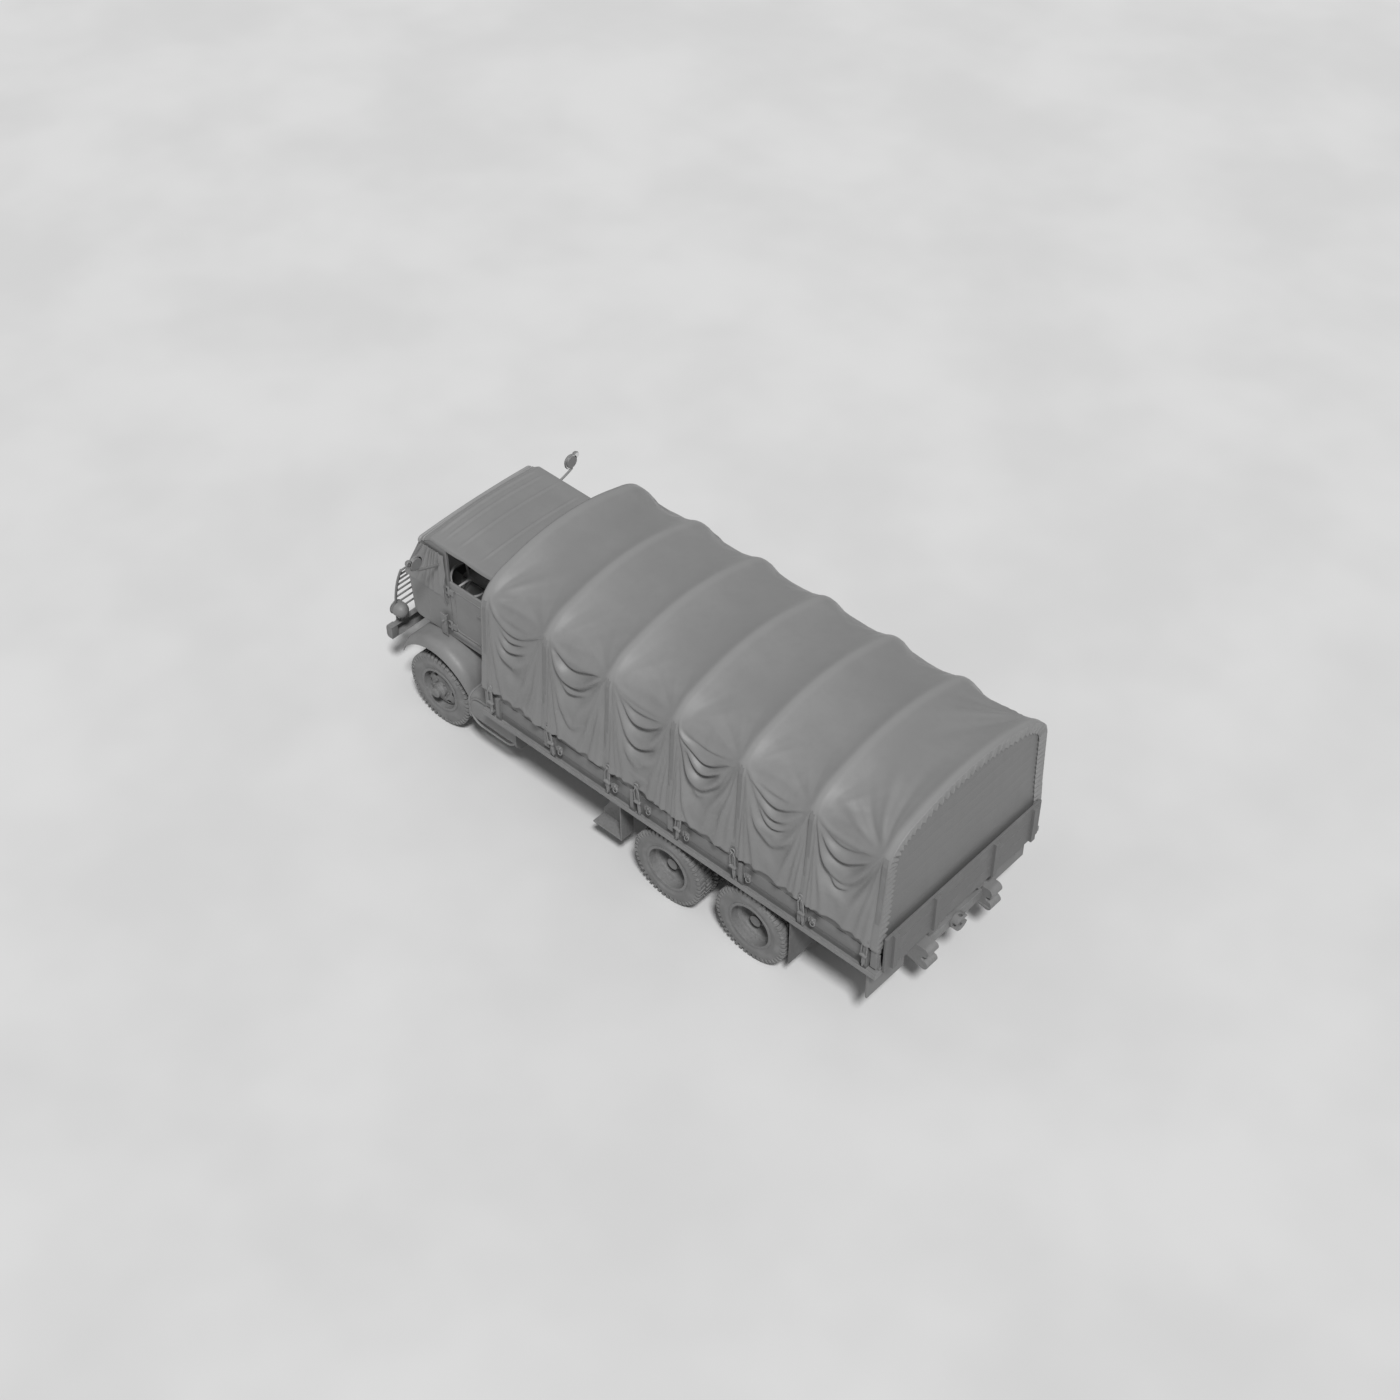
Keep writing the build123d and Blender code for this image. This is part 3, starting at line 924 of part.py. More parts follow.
# Tailgate: planks on upright battens, hinged at the rear sill
GATE_HALF_WIDTH = BED_HALF_WIDTH - 88
GATE_TOP_Z = 1540.0
GATE_BOTTOM_Z = GATE_HINGE_Z + GATE_BARREL + 6
GATE_PLANK = 26.0
GATE_FACE_X = GATE_HINGE_X + 10
GATE_PLANKS = 3
GATE_BATTENS = (-1080.0, -460.0, 460.0, 1080.0)
with BuildPart() as tailgate:
    pitch = (GATE_TOP_Z - GATE_BOTTOM_Z) / GATE_PLANKS
    with BuildSketch(cross_plane(GATE_FACE_X - GATE_PLANK)):
        with Locations((0, (GATE_TOP_Z + GATE_BOTTOM_Z) / 2)):
            Rectangle(2 * GATE_HALF_WIDTH, GATE_TOP_Z - GATE_BOTTOM_Z)
    extrude(amount=GATE_PLANK)
    with BuildSketch(cross_plane(GATE_FACE_X - GATE_PLANK)):
        with Locations([(0, GATE_BOTTOM_Z + pitch * i) for i in range(1, GATE_PLANKS)]):
            Rectangle(2 * GATE_HALF_WIDTH, 8)
    extrude(amount=9, mode=Mode.SUBTRACT)
    with Locations([(GATE_FACE_X - GATE_PLANK - 18, y, (GATE_TOP_Z + GATE_BOTTOM_Z) / 2) for y in GATE_BATTENS]):
        Box(36, 62, GATE_TOP_Z - GATE_BOTTOM_Z - 20)
    for y in GATE_HINGES:
        with Locations((GATE_HINGE_X, y, GATE_HINGE_Z)):
            Cylinder(GATE_BARREL, 2 * GATE_BARREL_HALF, rotation=(90, 0, 0))
        with Locations((GATE_FACE_X - GATE_PLANK / 2, y, GATE_HINGE_Z + 20)):
            Box(GATE_PLANK, 2 * GATE_BARREL_HALF, 40)
        with Locations((GATE_HINGE_X, y, GATE_HINGE_Z)):
            Cylinder(GATE_PIN + RUNNING_CLEARANCE, 2 * GATE_BARREL_HALF, rotation=(90, 0, 0), mode=Mode.SUBTRACT)
save(tailgate, "tailgate")

# Cover bows: bent wood hoops that stand on the ledge outside the side slats
BOW_WIDTH, BOW_DEPTH = 46.0, 30.0
COVER_SHOULDER = (BED_HALF_WIDTH - 76, 2480.0)
COVER_BEND = (BED_HALF_WIDTH - 190, 2655.0)
COVER_CROWN = (BED_HALF_WIDTH - 488, 2795.0)
COVER_HEM_Y = BED_HALF_WIDTH - 8
BOW_CLEAR = 1.0             # under the cover


def hoop(inset, drop, foot):
    """Points of the cover's arch: foot, shoulder, bend, crown and top on the +Y side."""
    rise = (foot - COVER_HEM_Z) / (COVER_SHOULDER[1] - COVER_HEM_Z)
    foot_y = COVER_HEM_Y + (COVER_SHOULDER[0] - COVER_HEM_Y) * rise
    return [(foot_y - inset, foot), (COVER_SHOULDER[0] - inset, COVER_SHOULDER[1] - 0.3 * drop),
            (COVER_BEND[0] - 0.75 * inset, COVER_BEND[1] - 0.7 * inset - 0.7 * drop),
            (COVER_CROWN[0] - 0.3 * inset, COVER_CROWN[1] - inset - drop), (0, COVER_TOP_Z - inset - drop)]


def arch_face(points):
    """Closes the arch given by its +Y half into the sketch being drawn."""
    foot, shoulder, bend, crown, top = points
    flip = [(-y, z) for y, z in points]
    with BuildLine() as line:
        Line(foot, shoulder)
        ThreePointArc(shoulder, bend, crown)
        ThreePointArc(crown, top, flip[3])
        ThreePointArc(flip[3], flip[2], flip[1])
        Line(flip[1], flip[0])
        Line(flip[0], foot)
    return make_face(line.line)


with BuildPart() as bows:
    for x in BOW_XS:
        for inset, mode in ((COVER_THICKNESS + BOW_CLEAR, Mode.ADD),
                            (COVER_THICKNESS + BOW_CLEAR + BOW_DEPTH, Mode.SUBTRACT)):
            with BuildSketch(cross_plane(x - BOW_WIDTH / 2)):
                add(arch_face(hoop(inset, 0, STAKE_TOP_Z + SEAT_GAP)))
            extrude(amount=BOW_WIDTH, mode=mode)
save(bows, "bows")

# Canvas cover: one sheet over the bows, sagging between them, closed at the front
COVER_FRONT_X = BED_FRONT_X
COVER_REAR_X = BED_REAR_X + 4
# Stations along the cover: place, sag
cover_stations = [(COVER_FRONT_X, 6.0)]
for i, x in enumerate(BOW_XS):
    cover_stations.append((x + BOW_WIDTH / 2 + 2, 0.0))
    cover_stations.append((x - BOW_WIDTH / 2 - 2, 0.0))
    if i < BOW_COUNT - 1:
        cover_stations.append((x - BOW_PITCH / 2, COVER_SAG))
cover_stations.append((COVER_REAR_X, 6.0))
with BuildPart() as cover:
    for x, sag in cover_stations:
        with BuildSketch(cross_plane(x)):
            add(arch_face(hoop(0, sag, COVER_HEM_Z)))
    loft(ruled=True)
    for x, sag in cover_stations:
        reach = -COVER_THICKNESS if x == COVER_FRONT_X else (-20 if x == COVER_REAR_X else 0)
        with BuildSketch(cross_plane(x + reach)):
            add(arch_face(hoop(COVER_THICKNESS, sag, COVER_HEM_Z - 20)))
    loft(ruled=True, mode=Mode.SUBTRACT)
save(cover, "cover")

# Rear curtain inside the last bow
CURTAIN_X = BOW_XS[-1] - BOW_WIDTH / 2 - SEAT_GAP
CURTAIN_BOTTOM_Z = 1229.0
CURTAIN_INSET = COVER_THICKNESS + BOW_CLEAR + 24
with BuildPart() as rear_curtain:
    with BuildSketch(cross_plane(CURTAIN_X - COVER_THICKNESS)):
        add(arch_face(hoop(CURTAIN_INSET, 0, STAKE_TOP_Z + 40)))
        with Locations((0, (CURTAIN_BOTTOM_Z + STAKE_TOP_Z + 40) / 2)):
            Rectangle(2 * (SLAT_Y - SLAT / 2 - 6), STAKE_TOP_Z + 40 - CURTAIN_BOTTOM_Z)
    extrude(amount=COVER_THICKNESS)
save(rear_curtain, "rear_curtain")

# Fuel tanks hung from the rails
TANK_FRONT_X, TANK_BACK_X = AXLE_X - 610, AXLE_X - 1330
TANK_INNER_Y, TANK_OUTER_Y = 655.0, 1105.0
TANK_BOTTOM_Z, TANK_TOP_Z = 500.0, 890.0
TANK_ROUND = 110.0
TANK_RIM = 10.0
for side_name, side in SIDES:
    middle_y = side * (TANK_INNER_Y + TANK_OUTER_Y) / 2
    with BuildPart() as tank:
        for x, length, grow in ((TANK_BACK_X, TANK_FRONT_X - TANK_BACK_X, 0), (TANK_BACK_X, 24, TANK_RIM),
                                (TANK_FRONT_X - 24, 24, TANK_RIM)):
            with BuildSketch(cross_plane(x)):
                with Locations((middle_y, (TANK_BOTTOM_Z + TANK_TOP_Z) / 2)):
                    RectangleRounded(TANK_OUTER_Y - TANK_INNER_Y + 2 * grow, TANK_TOP_Z - TANK_BOTTOM_Z + 2 * grow,
                                     TANK_ROUND)
            extrude(amount=length)
        for x in (TANK_BACK_X + 130, TANK_FRONT_X - 130):
            with Locations((x, side * (RAIL_OUTER_Y + SEAT_GAP + TANK_INNER_Y + 60) / 2, (RAIL_BOTTOM_Z + RAIL_TOP_Z) / 2)):
                Box(50, TANK_INNER_Y + 60 - RAIL_OUTER_Y - SEAT_GAP, 70)
    save(tank, f"fuel_tank_{side_name}")

# Side steps hung from the bed ahead of the rear wheels
STEP_FRONT_X, STEP_BACK_X = BOGIE_X + 1650, BOGIE_X + 1240
STEP_Z = 330.0
STEP_INNER_Y, STEP_OUTER_Y = BED_HALF_WIDTH - 288, BED_HALF_WIDTH - 108
STEP_WALL = 14.0
for side_name, side in SIDES:
    with BuildPart() as side_step:
        start_y = side * STEP_INNER_Y + (STEP_WALL if side > 0 else 0)
        with BuildSketch(side_plane(start_y)):
            with BuildLine():
                Polyline([(STEP_BACK_X, STEP_Z), (STEP_FRONT_X, STEP_Z), (STEP_FRONT_X, STEP_Z + 90),
                          (STEP_FRONT_X - 90, STEP_Z + 220), (STEP_FRONT_X - 90, SIDE_RAIL_BOTTOM_Z - SEAT_GAP),
                          (STEP_BACK_X, SIDE_RAIL_BOTTOM_Z - SEAT_GAP)], close=True)
            make_face()
        extrude(amount=STEP_WALL)
        with Locations(((STEP_FRONT_X + STEP_BACK_X) / 2, side * (STEP_INNER_Y + STEP_OUTER_Y) / 2, STEP_Z + STEP_WALL / 2)):
            Box(STEP_FRONT_X - STEP_BACK_X, STEP_OUTER_Y - STEP_INNER_Y, STEP_WALL)
        with Locations((STEP_BACK_X + STEP_WALL / 2, side * (STEP_INNER_Y + STEP_OUTER_Y) / 2, (STEP_Z + SIDE_RAIL_BOTTOM_Z - SEAT_GAP) / 2)):
            Box(STEP_WALL, STEP_OUTER_Y - STEP_INNER_Y, SIDE_RAIL_BOTTOM_Z - SEAT_GAP - STEP_Z)
    save(side_step, f"side_step_{side_name}")

# Mudflaps behind the rear wheels and boards under the rear corners of the bed
# Boards: name, station, inner and outer edges, lower edge, thickness
BOARDS = (("mudflaps", REAR_AXLES[1][1] - TYRE_RADIUS - 60, 770.0, BED_HALF_WIDTH - 43, 330.0, 12.0),
          ("corner_boards", BED_REAR_X + 130, 680.0, RAIL_INSIDE_Y + 20, 600.0, 22.0))
for board_name, x, inner_y, outer_y, lower_z, thick in BOARDS:
    middle_y, top_z = (inner_y + outer_y) / 2, SIDE_RAIL_BOTTOM_Z - SEAT_GAP
    with BuildPart() as boards:
        with BuildSketch(cross_plane(x - thick)):
            with Locations((middle_y, (lower_z + top_z) / 2), (-middle_y, (lower_z + top_z) / 2)):
                Rectangle(outer_y - inner_y, top_z - lower_z)
        extrude(amount=thick)
    save(boards, board_name)

# Rear guards: forked bumperettes on the frame's ends and a towing pintle with a pin jaw between them
BUMPERETTE_Y = 505.0
BUMPERETTE_REAR_X = BED_REAR_X - BUMPERETTE_OVERHANG
PINTLE_RADIUS = 95.0
PINTLE_Z = RAIL_BOTTOM_Z + 60
PINTLE_PIN = 22.0
PINTLE_REAR_X = BED_REAR_X - 60
with BuildPart() as rear_guards:
    for side in (LEFT, RIGHT):
        with BuildSketch(side_plane(side * BUMPERETTE_Y + 80)):
            with BuildLine():
                Polyline((FRAME_REAR_X + 160, 640), (BUMPERETTE_REAR_X + 60, 580))
                ThreePointArc((BUMPERETTE_REAR_X + 60, 580), (BUMPERETTE_REAR_X, 640), (BUMPERETTE_REAR_X + 60, 700))
                ThreePointArc((BUMPERETTE_REAR_X + 60, 700), (BUMPERETTE_REAR_X + 84, 725), (BUMPERETTE_REAR_X + 60, 750))
                ThreePointArc((BUMPERETTE_REAR_X + 60, 750), (BUMPERETTE_REAR_X, 810), (BUMPERETTE_REAR_X + 60, 870))
                Polyline((BUMPERETTE_REAR_X + 60, 870), (FRAME_REAR_X + 160, 870), (FRAME_REAR_X + 160, 640))
            make_face()
        extrude(amount=160)
        with Locations((FRAME_REAR_X + 60, side * (RAIL_OUTER_Y - 40), 755)):
            Box(320, 80 + SEAT_GAP * 2, 260, mode=Mode.SUBTRACT)
    shaft((FRAME_REAR_X - SEAT_GAP, 0, PINTLE_Z), (PINTLE_REAR_X, 0, PINTLE_Z), PINTLE_RADIUS)
    with Locations((PINTLE_REAR_X + 20, 0, PINTLE_Z)):
        Box(70, 2 * PINTLE_RADIUS, 70, mode=Mode.SUBTRACT)
    with Locations((PINTLE_REAR_X + 28, 0, PINTLE_Z)):
        Cylinder(PINTLE_PIN, 2 * PINTLE_RADIUS + 20, mode=Mode.SUBTRACT)
save(rear_guards, "rear_guards")
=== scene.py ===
# Looks of the cab-over military cargo truck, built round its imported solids. Metres, +X forward, +Z up.
import json
from math import cos, pi, radians, sin, tau

import bmesh
import bpy
import numpy as np
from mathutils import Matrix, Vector


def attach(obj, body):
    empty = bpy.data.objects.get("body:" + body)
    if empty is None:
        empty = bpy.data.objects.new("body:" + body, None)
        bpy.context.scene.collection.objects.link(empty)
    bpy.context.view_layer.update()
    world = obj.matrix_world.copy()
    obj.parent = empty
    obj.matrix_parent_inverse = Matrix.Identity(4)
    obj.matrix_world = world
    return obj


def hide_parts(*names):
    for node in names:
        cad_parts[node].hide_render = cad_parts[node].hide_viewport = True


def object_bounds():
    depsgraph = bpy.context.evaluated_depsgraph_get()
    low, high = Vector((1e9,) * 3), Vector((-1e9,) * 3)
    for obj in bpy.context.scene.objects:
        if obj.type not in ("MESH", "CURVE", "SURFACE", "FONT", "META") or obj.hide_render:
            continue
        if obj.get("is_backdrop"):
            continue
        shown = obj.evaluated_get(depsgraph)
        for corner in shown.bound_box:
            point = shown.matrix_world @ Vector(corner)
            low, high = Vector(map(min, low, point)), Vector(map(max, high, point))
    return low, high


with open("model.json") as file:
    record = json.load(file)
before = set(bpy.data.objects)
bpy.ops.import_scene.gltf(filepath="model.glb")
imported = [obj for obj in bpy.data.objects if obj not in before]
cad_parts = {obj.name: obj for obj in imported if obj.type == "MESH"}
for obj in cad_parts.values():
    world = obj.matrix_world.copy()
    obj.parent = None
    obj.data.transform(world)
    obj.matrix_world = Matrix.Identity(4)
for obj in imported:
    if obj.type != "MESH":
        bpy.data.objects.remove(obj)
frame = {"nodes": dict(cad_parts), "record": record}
cad_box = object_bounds()
scene = bpy.context.scene
link = scene.collection.objects.link

# Stations and sizes, shared with the solids
LEFT, RIGHT = 1, -1
SIDES = {"left": LEFT, "right": RIGHT}
AXLE_X, AXLE_Z = 2.740, 0.459
MID_AXLE_X, REAR_AXLE_X = -0.867, -1.985
FRONT_TYRE_Y, REAR_TYRE_Y, TWIN_SPACING = 0.900, 1.133, 0.256
BED_FRONT_X, BED_REAR_X = 1.695, -3.585
BOW_COUNT, BOW_INSET = 7, 0.055
BOW_PITCH = (BED_FRONT_X - BED_REAR_X - 2 * BOW_INSET) / (BOW_COUNT - 1)
BOW_XS = [BED_FRONT_X - BOW_INSET - BOW_PITCH * i for i in range(BOW_COUNT)]


class Value:
    """A shader socket. Arithmetic on it adds Math nodes to its material."""

    def __init__(self, finish, socket):
        self.finish = finish
        self.socket = socket

    def maths(self, operation, *terms):
        return self.finish.node("ShaderNodeMath", {"operation": operation}, dict(enumerate(terms)))

    def __add__(self, other):
        return self.maths("ADD", self, other)

    def __mul__(self, other):
        return self.maths("MULTIPLY", self, other)

    def __sub__(self, other):
        return self.maths("SUBTRACT", self, other)

    def __rsub__(self, other):
        return self.maths("SUBTRACT", other, self)

    def between(self, low, high):
        """0 below low, 1 above high, smooth between."""
        return self.finish.node("ShaderNodeMapRange", {"interpolation_type": "SMOOTHSTEP"},
                                {"Value": self, "From Min": low, "From Max": high})

    def sine(self):
        return self.maths("SINE", self)

    __radd__ = __add__
    __rmul__ = __mul__


class Finish:
    """One material round a grey tone, with its nodes made by node()."""

    def __init__(self, name, tone=1.0):
        self.tone = tone
        self.material = bpy.data.materials.new(name)
        self.material.use_nodes = True
        self.tree = self.material.node_tree
        self.tree.nodes.clear()
        self.coords = self.node("ShaderNodeTexCoord", output="Object")

    def node(self, kind, settings=None, inputs=None, output=0):
        made = self.tree.nodes.new(kind)
        for key, value in (settings or {}).items():
            setattr(made, key, value)
        for key, value in (inputs or {}).items():
            if isinstance(value, Value):
                self.tree.links.new(value.socket, made.inputs[key])
            else:
                made.inputs[key].default_value = value
        return Value(self, made.outputs[output] if len(made.outputs) else None)

    def noise(self, scale, detail=3.0, roughness=0.55, vector=None, stretch=(1, 1, 1)):
        place = vector or self.coords
        if stretch != (1, 1, 1):
            place = self.node("ShaderNodeMapping", inputs={"Vector": place, "Scale": stretch})
        return self.node("ShaderNodeTexNoise", inputs={"Vector": place, "Scale": scale, "Detail": detail,
                                                       "Roughness": roughness})

    def part(self, vector, axis):
        return self.node("ShaderNodeSeparateXYZ", inputs={0: vector}, output=axis)

    def layers(self, share, *coats):
        """Colour from a share of the tone and coats over it, each a factor and its own share of the tone."""
        colour = grey(self.tone * share)
        for factor, share in coats:
            colour = self.node("ShaderNodeMix", {"data_type": "RGBA"},
                               {0: factor, 6: colour, 7: grey(self.tone * share)}, output=2)
        return colour

    def facing_up(self):
        return self.part(self.node("ShaderNodeNewGeometry", output="Normal"), "Z")

    def edges(self, radius):
        """1 along sharp edges, from the angle between the true and the rounded normal."""
        rounded = self.node("ShaderNodeBevel", {"samples": 4}, {"Radius": radius})
        true = self.node("ShaderNodeNewGeometry", output="Normal")
        aligned = self.node("ShaderNodeVectorMath", {"operation": "DOT_PRODUCT"}, {0: rounded, 1: true}, output="Value")
        return (1 - aligned).between(0.004, 0.06), rounded

    def surface(self, colour, roughness, height=None, depth=0.002, normal=None, **fixed):
        """Ends the material in a Principled shader; height feeds its bump."""
        inputs = {"Base Color": colour, "Roughness": roughness}
        if height is not None:
            bump = {"Height": height, "Distance": depth, "Strength": 1.0}
            if normal is not None:
                bump["Normal"] = normal
            normal = self.node("ShaderNodeBump", inputs=bump)
        if normal is not None:
            inputs["Normal"] = normal
        inputs.update({key.replace("_", " ").title().replace("Ior", "IOR"): value for key, value in fixed.items()})
        shader = self.node("ShaderNodeBsdfPrincipled", inputs=inputs)
        self.node("ShaderNodeOutputMaterial", inputs={0: shader})
        return self.material


def grey(level):
    return (level, level, level, 1.0)


def service_paint(name, tone):
    """Flat grey paint: mottled, dusty on top, grimy low down and rubbed light on its edges."""
    f = Finish(name, tone)
    mottle = f.noise(2.2, 5.0).between(0.3, 0.75)
    speckle = f.noise(38.0, 4.0).between(0.45, 0.7)
    dust = f.facing_up().between(0.35, 0.95) * f.noise(5.0, 4.0).between(0.3, 0.8)
    low = 1 - f.part(f.coords, "Z").between(0.35, 1.1)
    worn, rounded = f.edges(0.008)
    rubbed = worn * f.noise(14.0, 4.0).between(0.42, 0.62)
    colour = f.layers(0.88, (mottle, 1.06), (dust * 0.45, 1.28), (low * speckle * 0.55, 0.66), (rubbed * 0.55, 1.75))
    roughness = 0.42 + dust * 0.22 + low * 0.18 + speckle * 0.06
    return f.surface(colour, roughness, f.noise(160.0, 2.0), 0.0006, rounded, specular_ior_level=0.45)


def dark_metal(name, tone):
    """Oily cast and forged steel under the truck."""
    f = Finish(name, tone)
    grime = f.noise(6.0, 5.0).between(0.35, 0.7)
    dust = f.facing_up().between(0.2, 0.9) * f.noise(9.0, 4.0)
    worn, rounded = f.edges(0.006)
    colour = f.layers(0.7, (grime, 1.1), (dust * 0.5, 1.6), (worn * 0.4, 2.1))
    return f.surface(colour, 0.5 + grime * 0.2, f.noise(90.0, 3.0), 0.0012, rounded, metallic=0.25)


def bright_steel(name, tone):
    """Rubbed steel of pins, nuts and hooks."""
    f = Finish(name, tone)
    streaks = f.noise(30.0, 4.0, stretch=(1, 1, 4))
    colour = f.layers(0.75, (streaks, 1.15))
    return f.surface(colour, 0.32 + streaks * 0.2, f.noise(220.0, 2.0), 0.0004, metallic=0.55)


def tyre_rubber(name, tone):
    """Grey dusty rubber, darker in the grooves and scuffed on the tread."""
    f = Finish(name, tone)
    dust = f.noise(7.0, 5.0).between(0.35, 0.75)
    grit = f.noise(120.0, 3.0)
    up = f.facing_up().between(0.0, 0.9)
    colour = f.layers(0.82, (dust, 1.12), (up * 0.4, 1.3))
    return f.surface(colour, 0.62 + dust * 0.2, grit, 0.0008, specular_ior_level=0.35)


def canvas(name, tone, thread=0.0032, over_bows=False):
    """Proofed canvas: plain weave on the cloth's own map, with water marks, and lighter where bows carry it: rubbed,
    and a painted highlight along the bow ridges.
    """
    f = Finish(name, tone)
    weave_map = f.node("ShaderNodeUVMap", {"uv_map": "cloth"})
    across = f.part(weave_map, "X") * (tau / thread)
    along = f.part(weave_map, "Y") * (tau / thread)
    weave = (across.sine() + along.sine()) * 0.25 + 0.5
    slub = f.noise(260.0, 2.0, vector=weave_map, stretch=(1, 0.08, 1))
    stain = f.noise(1.3, 6.0, 0.6).between(0.35, 0.72)
    streak = f.noise(4.0, 4.0, stretch=(3.0, 3.0, 0.35)).between(0.45, 0.8)
    dust = f.facing_up().between(0.4, 1.0)
    coats = [(stain, 1.05), (streak * 0.35, 0.8), (dust * 0.35, 1.14), (slub * 0.12, 1.3)]
    if over_bows:
        # Lighter band over the top along each bow: rubbing, and a painted highlight of the bow ridges
        bows_passed = (BOW_XS[0] - f.part(f.coords, "X")) * (1 / BOW_PITCH)
        from_bow = bows_passed.maths("PINGPONG", bows_passed, 0.5) * BOW_PITCH
        bow_rub_and_highlight = (1 - from_bow.between(0.0, 0.085)) * f.part(f.coords, "Z").between(2.35, 2.6)
        coats.append((bow_rub_and_highlight * 0.6, 1.32))
    return f.surface(f.layers(0.9, *coats), 0.40 + stain * 0.12, weave * 0.6 + slub * 0.5, 0.0006,
                     specular_ior_level=0.5, sheen_weight=0.08)


def painted_boards(name, tone):
    """Painted hardwood boards with raised grain along the truck, worn light on their edges."""
    f = Finish(name, tone)
    grain = f.noise(9.0, 6.0, 0.65, stretch=(0.35, 5.0, 5.0))
    fine = f.noise(60.0, 4.0, 0.6, stretch=(0.12, 4.0, 4.0))
    scuff = f.noise(5.0, 5.0).between(0.5, 0.72)
    worn, rounded = f.edges(0.006)
    colour = f.layers(0.84, (grain, 1.1), (scuff * 0.3, 1.35), (worn * 0.45, 1.6))
    return f.surface(colour, 0.55 + grain * 0.2, grain * 0.5 + fine * 0.5, 0.0012, rounded, specular_ior_level=0.4)


def clear_glass(name):
    """Flat safety glass with a thin film of dust."""
    f = Finish(name)
    film = f.noise(6.0, 5.0).between(0.4, 0.8)
    return f.surface(grey(0.86), 0.03 + film * 0.1, transmission_weight=0.92, ior=1.45)


def mirror_glass(name):
    f = Finish(name)
    film = f.noise(18.0, 4.0).between(0.45, 0.8)
    return f.surface(grey(0.8), 0.03 + film * 0.08, metallic=1.0)


def lamp_lens(name, tone):
    """Fluted lens over a bright bowl."""
    f = Finish(name, tone)
    flutes = (f.part(f.coords, "Y") * 520.0).sine()
    return f.surface(grey(tone), 0.12, flutes * 0.5 + 0.5, 0.0012, coat_weight=0.6)


paint = service_paint("service_paint", 0.215)
# Cab inside: the service paint in a lighter tone, painted light that makes up for the shade under the cab roof
inner_paint_painted_light = service_paint("inner_paint_painted_light", 0.40)
rim_paint = service_paint("wheel_paint", 0.2)
lamp_paint = service_paint("lamp_paint", 0.235)
chassis_metal = dark_metal("chassis_metal", 0.13)
hook_steel = bright_steel("hook_steel", 0.26)
rubber = tyre_rubber("tyre_rubber", 0.205)
flap_rubber = tyre_rubber("flap_rubber", 0.15)
cover_canvas = canvas("cover_canvas", 0.225, over_bows=True)
# Rear curtain: the cover's canvas in a darker tone, painted shade of the rear face
shaded_curtain_canvas = canvas("shaded_curtain_canvas", 0.15)
header_canvas = canvas("header_canvas", 0.28)
roof_canvas = canvas("roof_canvas", 0.225)
seat_canvas = canvas("seat_canvas", 0.24, 0.0024)
boards = painted_boards("side_boards", 0.205)
# Tailgate: the side boards in a darker tone, painted shade of the rear face
shaded_gate_boards = painted_boards("shaded_gate_boards", 0.165)
glass = clear_glass("screen_glass")
mirror = mirror_glass("mirror_glass")
lens = lamp_lens("lamp_lens", 0.4)

SLOT_FINISHES = {"paint": paint, "tyre": rubber, "glass": glass, "canvas": cover_canvas, "boards": boards,
                 "steel": chassis_metal, "cushion": seat_canvas, "lamp": lamp_paint, "flap": flap_rubber}
# The cab floor, back and steering wheel take the lighter paint: painted light in the roof's shade
# The tailgate takes the darker boards: painted shade
NODE_FINISHES = {"tailgate": shaded_gate_boards, "cab_floor": inner_paint_painted_light, "cab_back": inner_paint_painted_light,
                 "steering_wheel": inner_paint_painted_light}
for row in frame["record"]["subparts"]:
    node = frame["nodes"][row["node"]]
    finish = rim_paint if row["node"].startswith("wheel_") else SLOT_FINISHES[row["material_slot"]]
    finish = NODE_FINISHES.get(row["node"], finish)
    node.data.materials.clear()
    node.data.materials.append(finish)


def add_piece(name, mesh, finish, body="truck", smooth=True):
    """Links a mesh as a piece that rides on a body."""
    mesh.materials.clear()
    mesh.materials.append(finish)
    for polygon in mesh.polygons:
        polygon.use_smooth = smooth
    piece = bpy.data.objects.new(name, mesh)
    link(piece)
    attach(piece, body)
    return piece


def add_sheet(name, cloth, finish, flip=False):
    """Links a canvas piece from a grid of points and its map, metres on the cloth; flip turns its faces round."""
    points, uv = (grid[:, ::-1] for grid in cloth) if flip else cloth
    index = np.arange(points[..., 0].size).reshape(points.shape[:2])
    quads = np.stack([index[:-1, :-1], index[:-1, 1:], index[1:, 1:], index[1:, :-1]], -1).reshape(-1, 4)
    mesh = bpy.data.meshes.new(name)
    mesh.from_pydata(points.reshape(-1, 3).tolist(), [], quads.tolist())
    layer = mesh.uv_layers.new(name="cloth")
    layer.data.foreach_set("uv", uv.reshape(-1, 2)[quads.ravel()].astype(np.float32).ravel())
    mesh.validate()
    return add_piece(name, mesh, finish)


def smooth_path(points, steps):
    """Catmull-Rom points through the given ones."""
    p = np.array(points, float)
    p = np.vstack([2 * p[0] - p[1], p, 2 * p[-1] - p[-2]])
    out = []
    for i in range(1, len(p) - 2):
        for t in np.linspace(0, 1, steps, endpoint=False):
            a, b, c, d = p[i - 1], p[i], p[i + 1], p[i + 2]
            out.append(0.5 * (2 * b + (c - a) * t + (2 * a - 5 * b + 4 * c - d) * t ** 2
                              + (3 * b - a - 3 * c + d) * t ** 3))
    out.append(p[-2])
    return np.array(out)


def ripple(a, b, seed, waves=7, low=2.0, high=9.0):
    """Smooth seeded noise of two coordinates, about -1 to 1."""
    rng = np.random.default_rng(seed)
    total = np.zeros(np.broadcast(a, b).shape)
    for _ in range(waves):
        angle, pitch, phase = rng.uniform(0, tau), rng.uniform(low, high), rng.uniform(0, tau)
        total += np.sin(pitch * (a * cos(angle) + b * sin(angle)) + phase)
    return total / (waves ** 0.5 * 1.2)


def smoothstep(value, low, high):
    t = np.clip((value - low) / (high - low), 0, 1)
    return t * t * (3 - 2 * t)


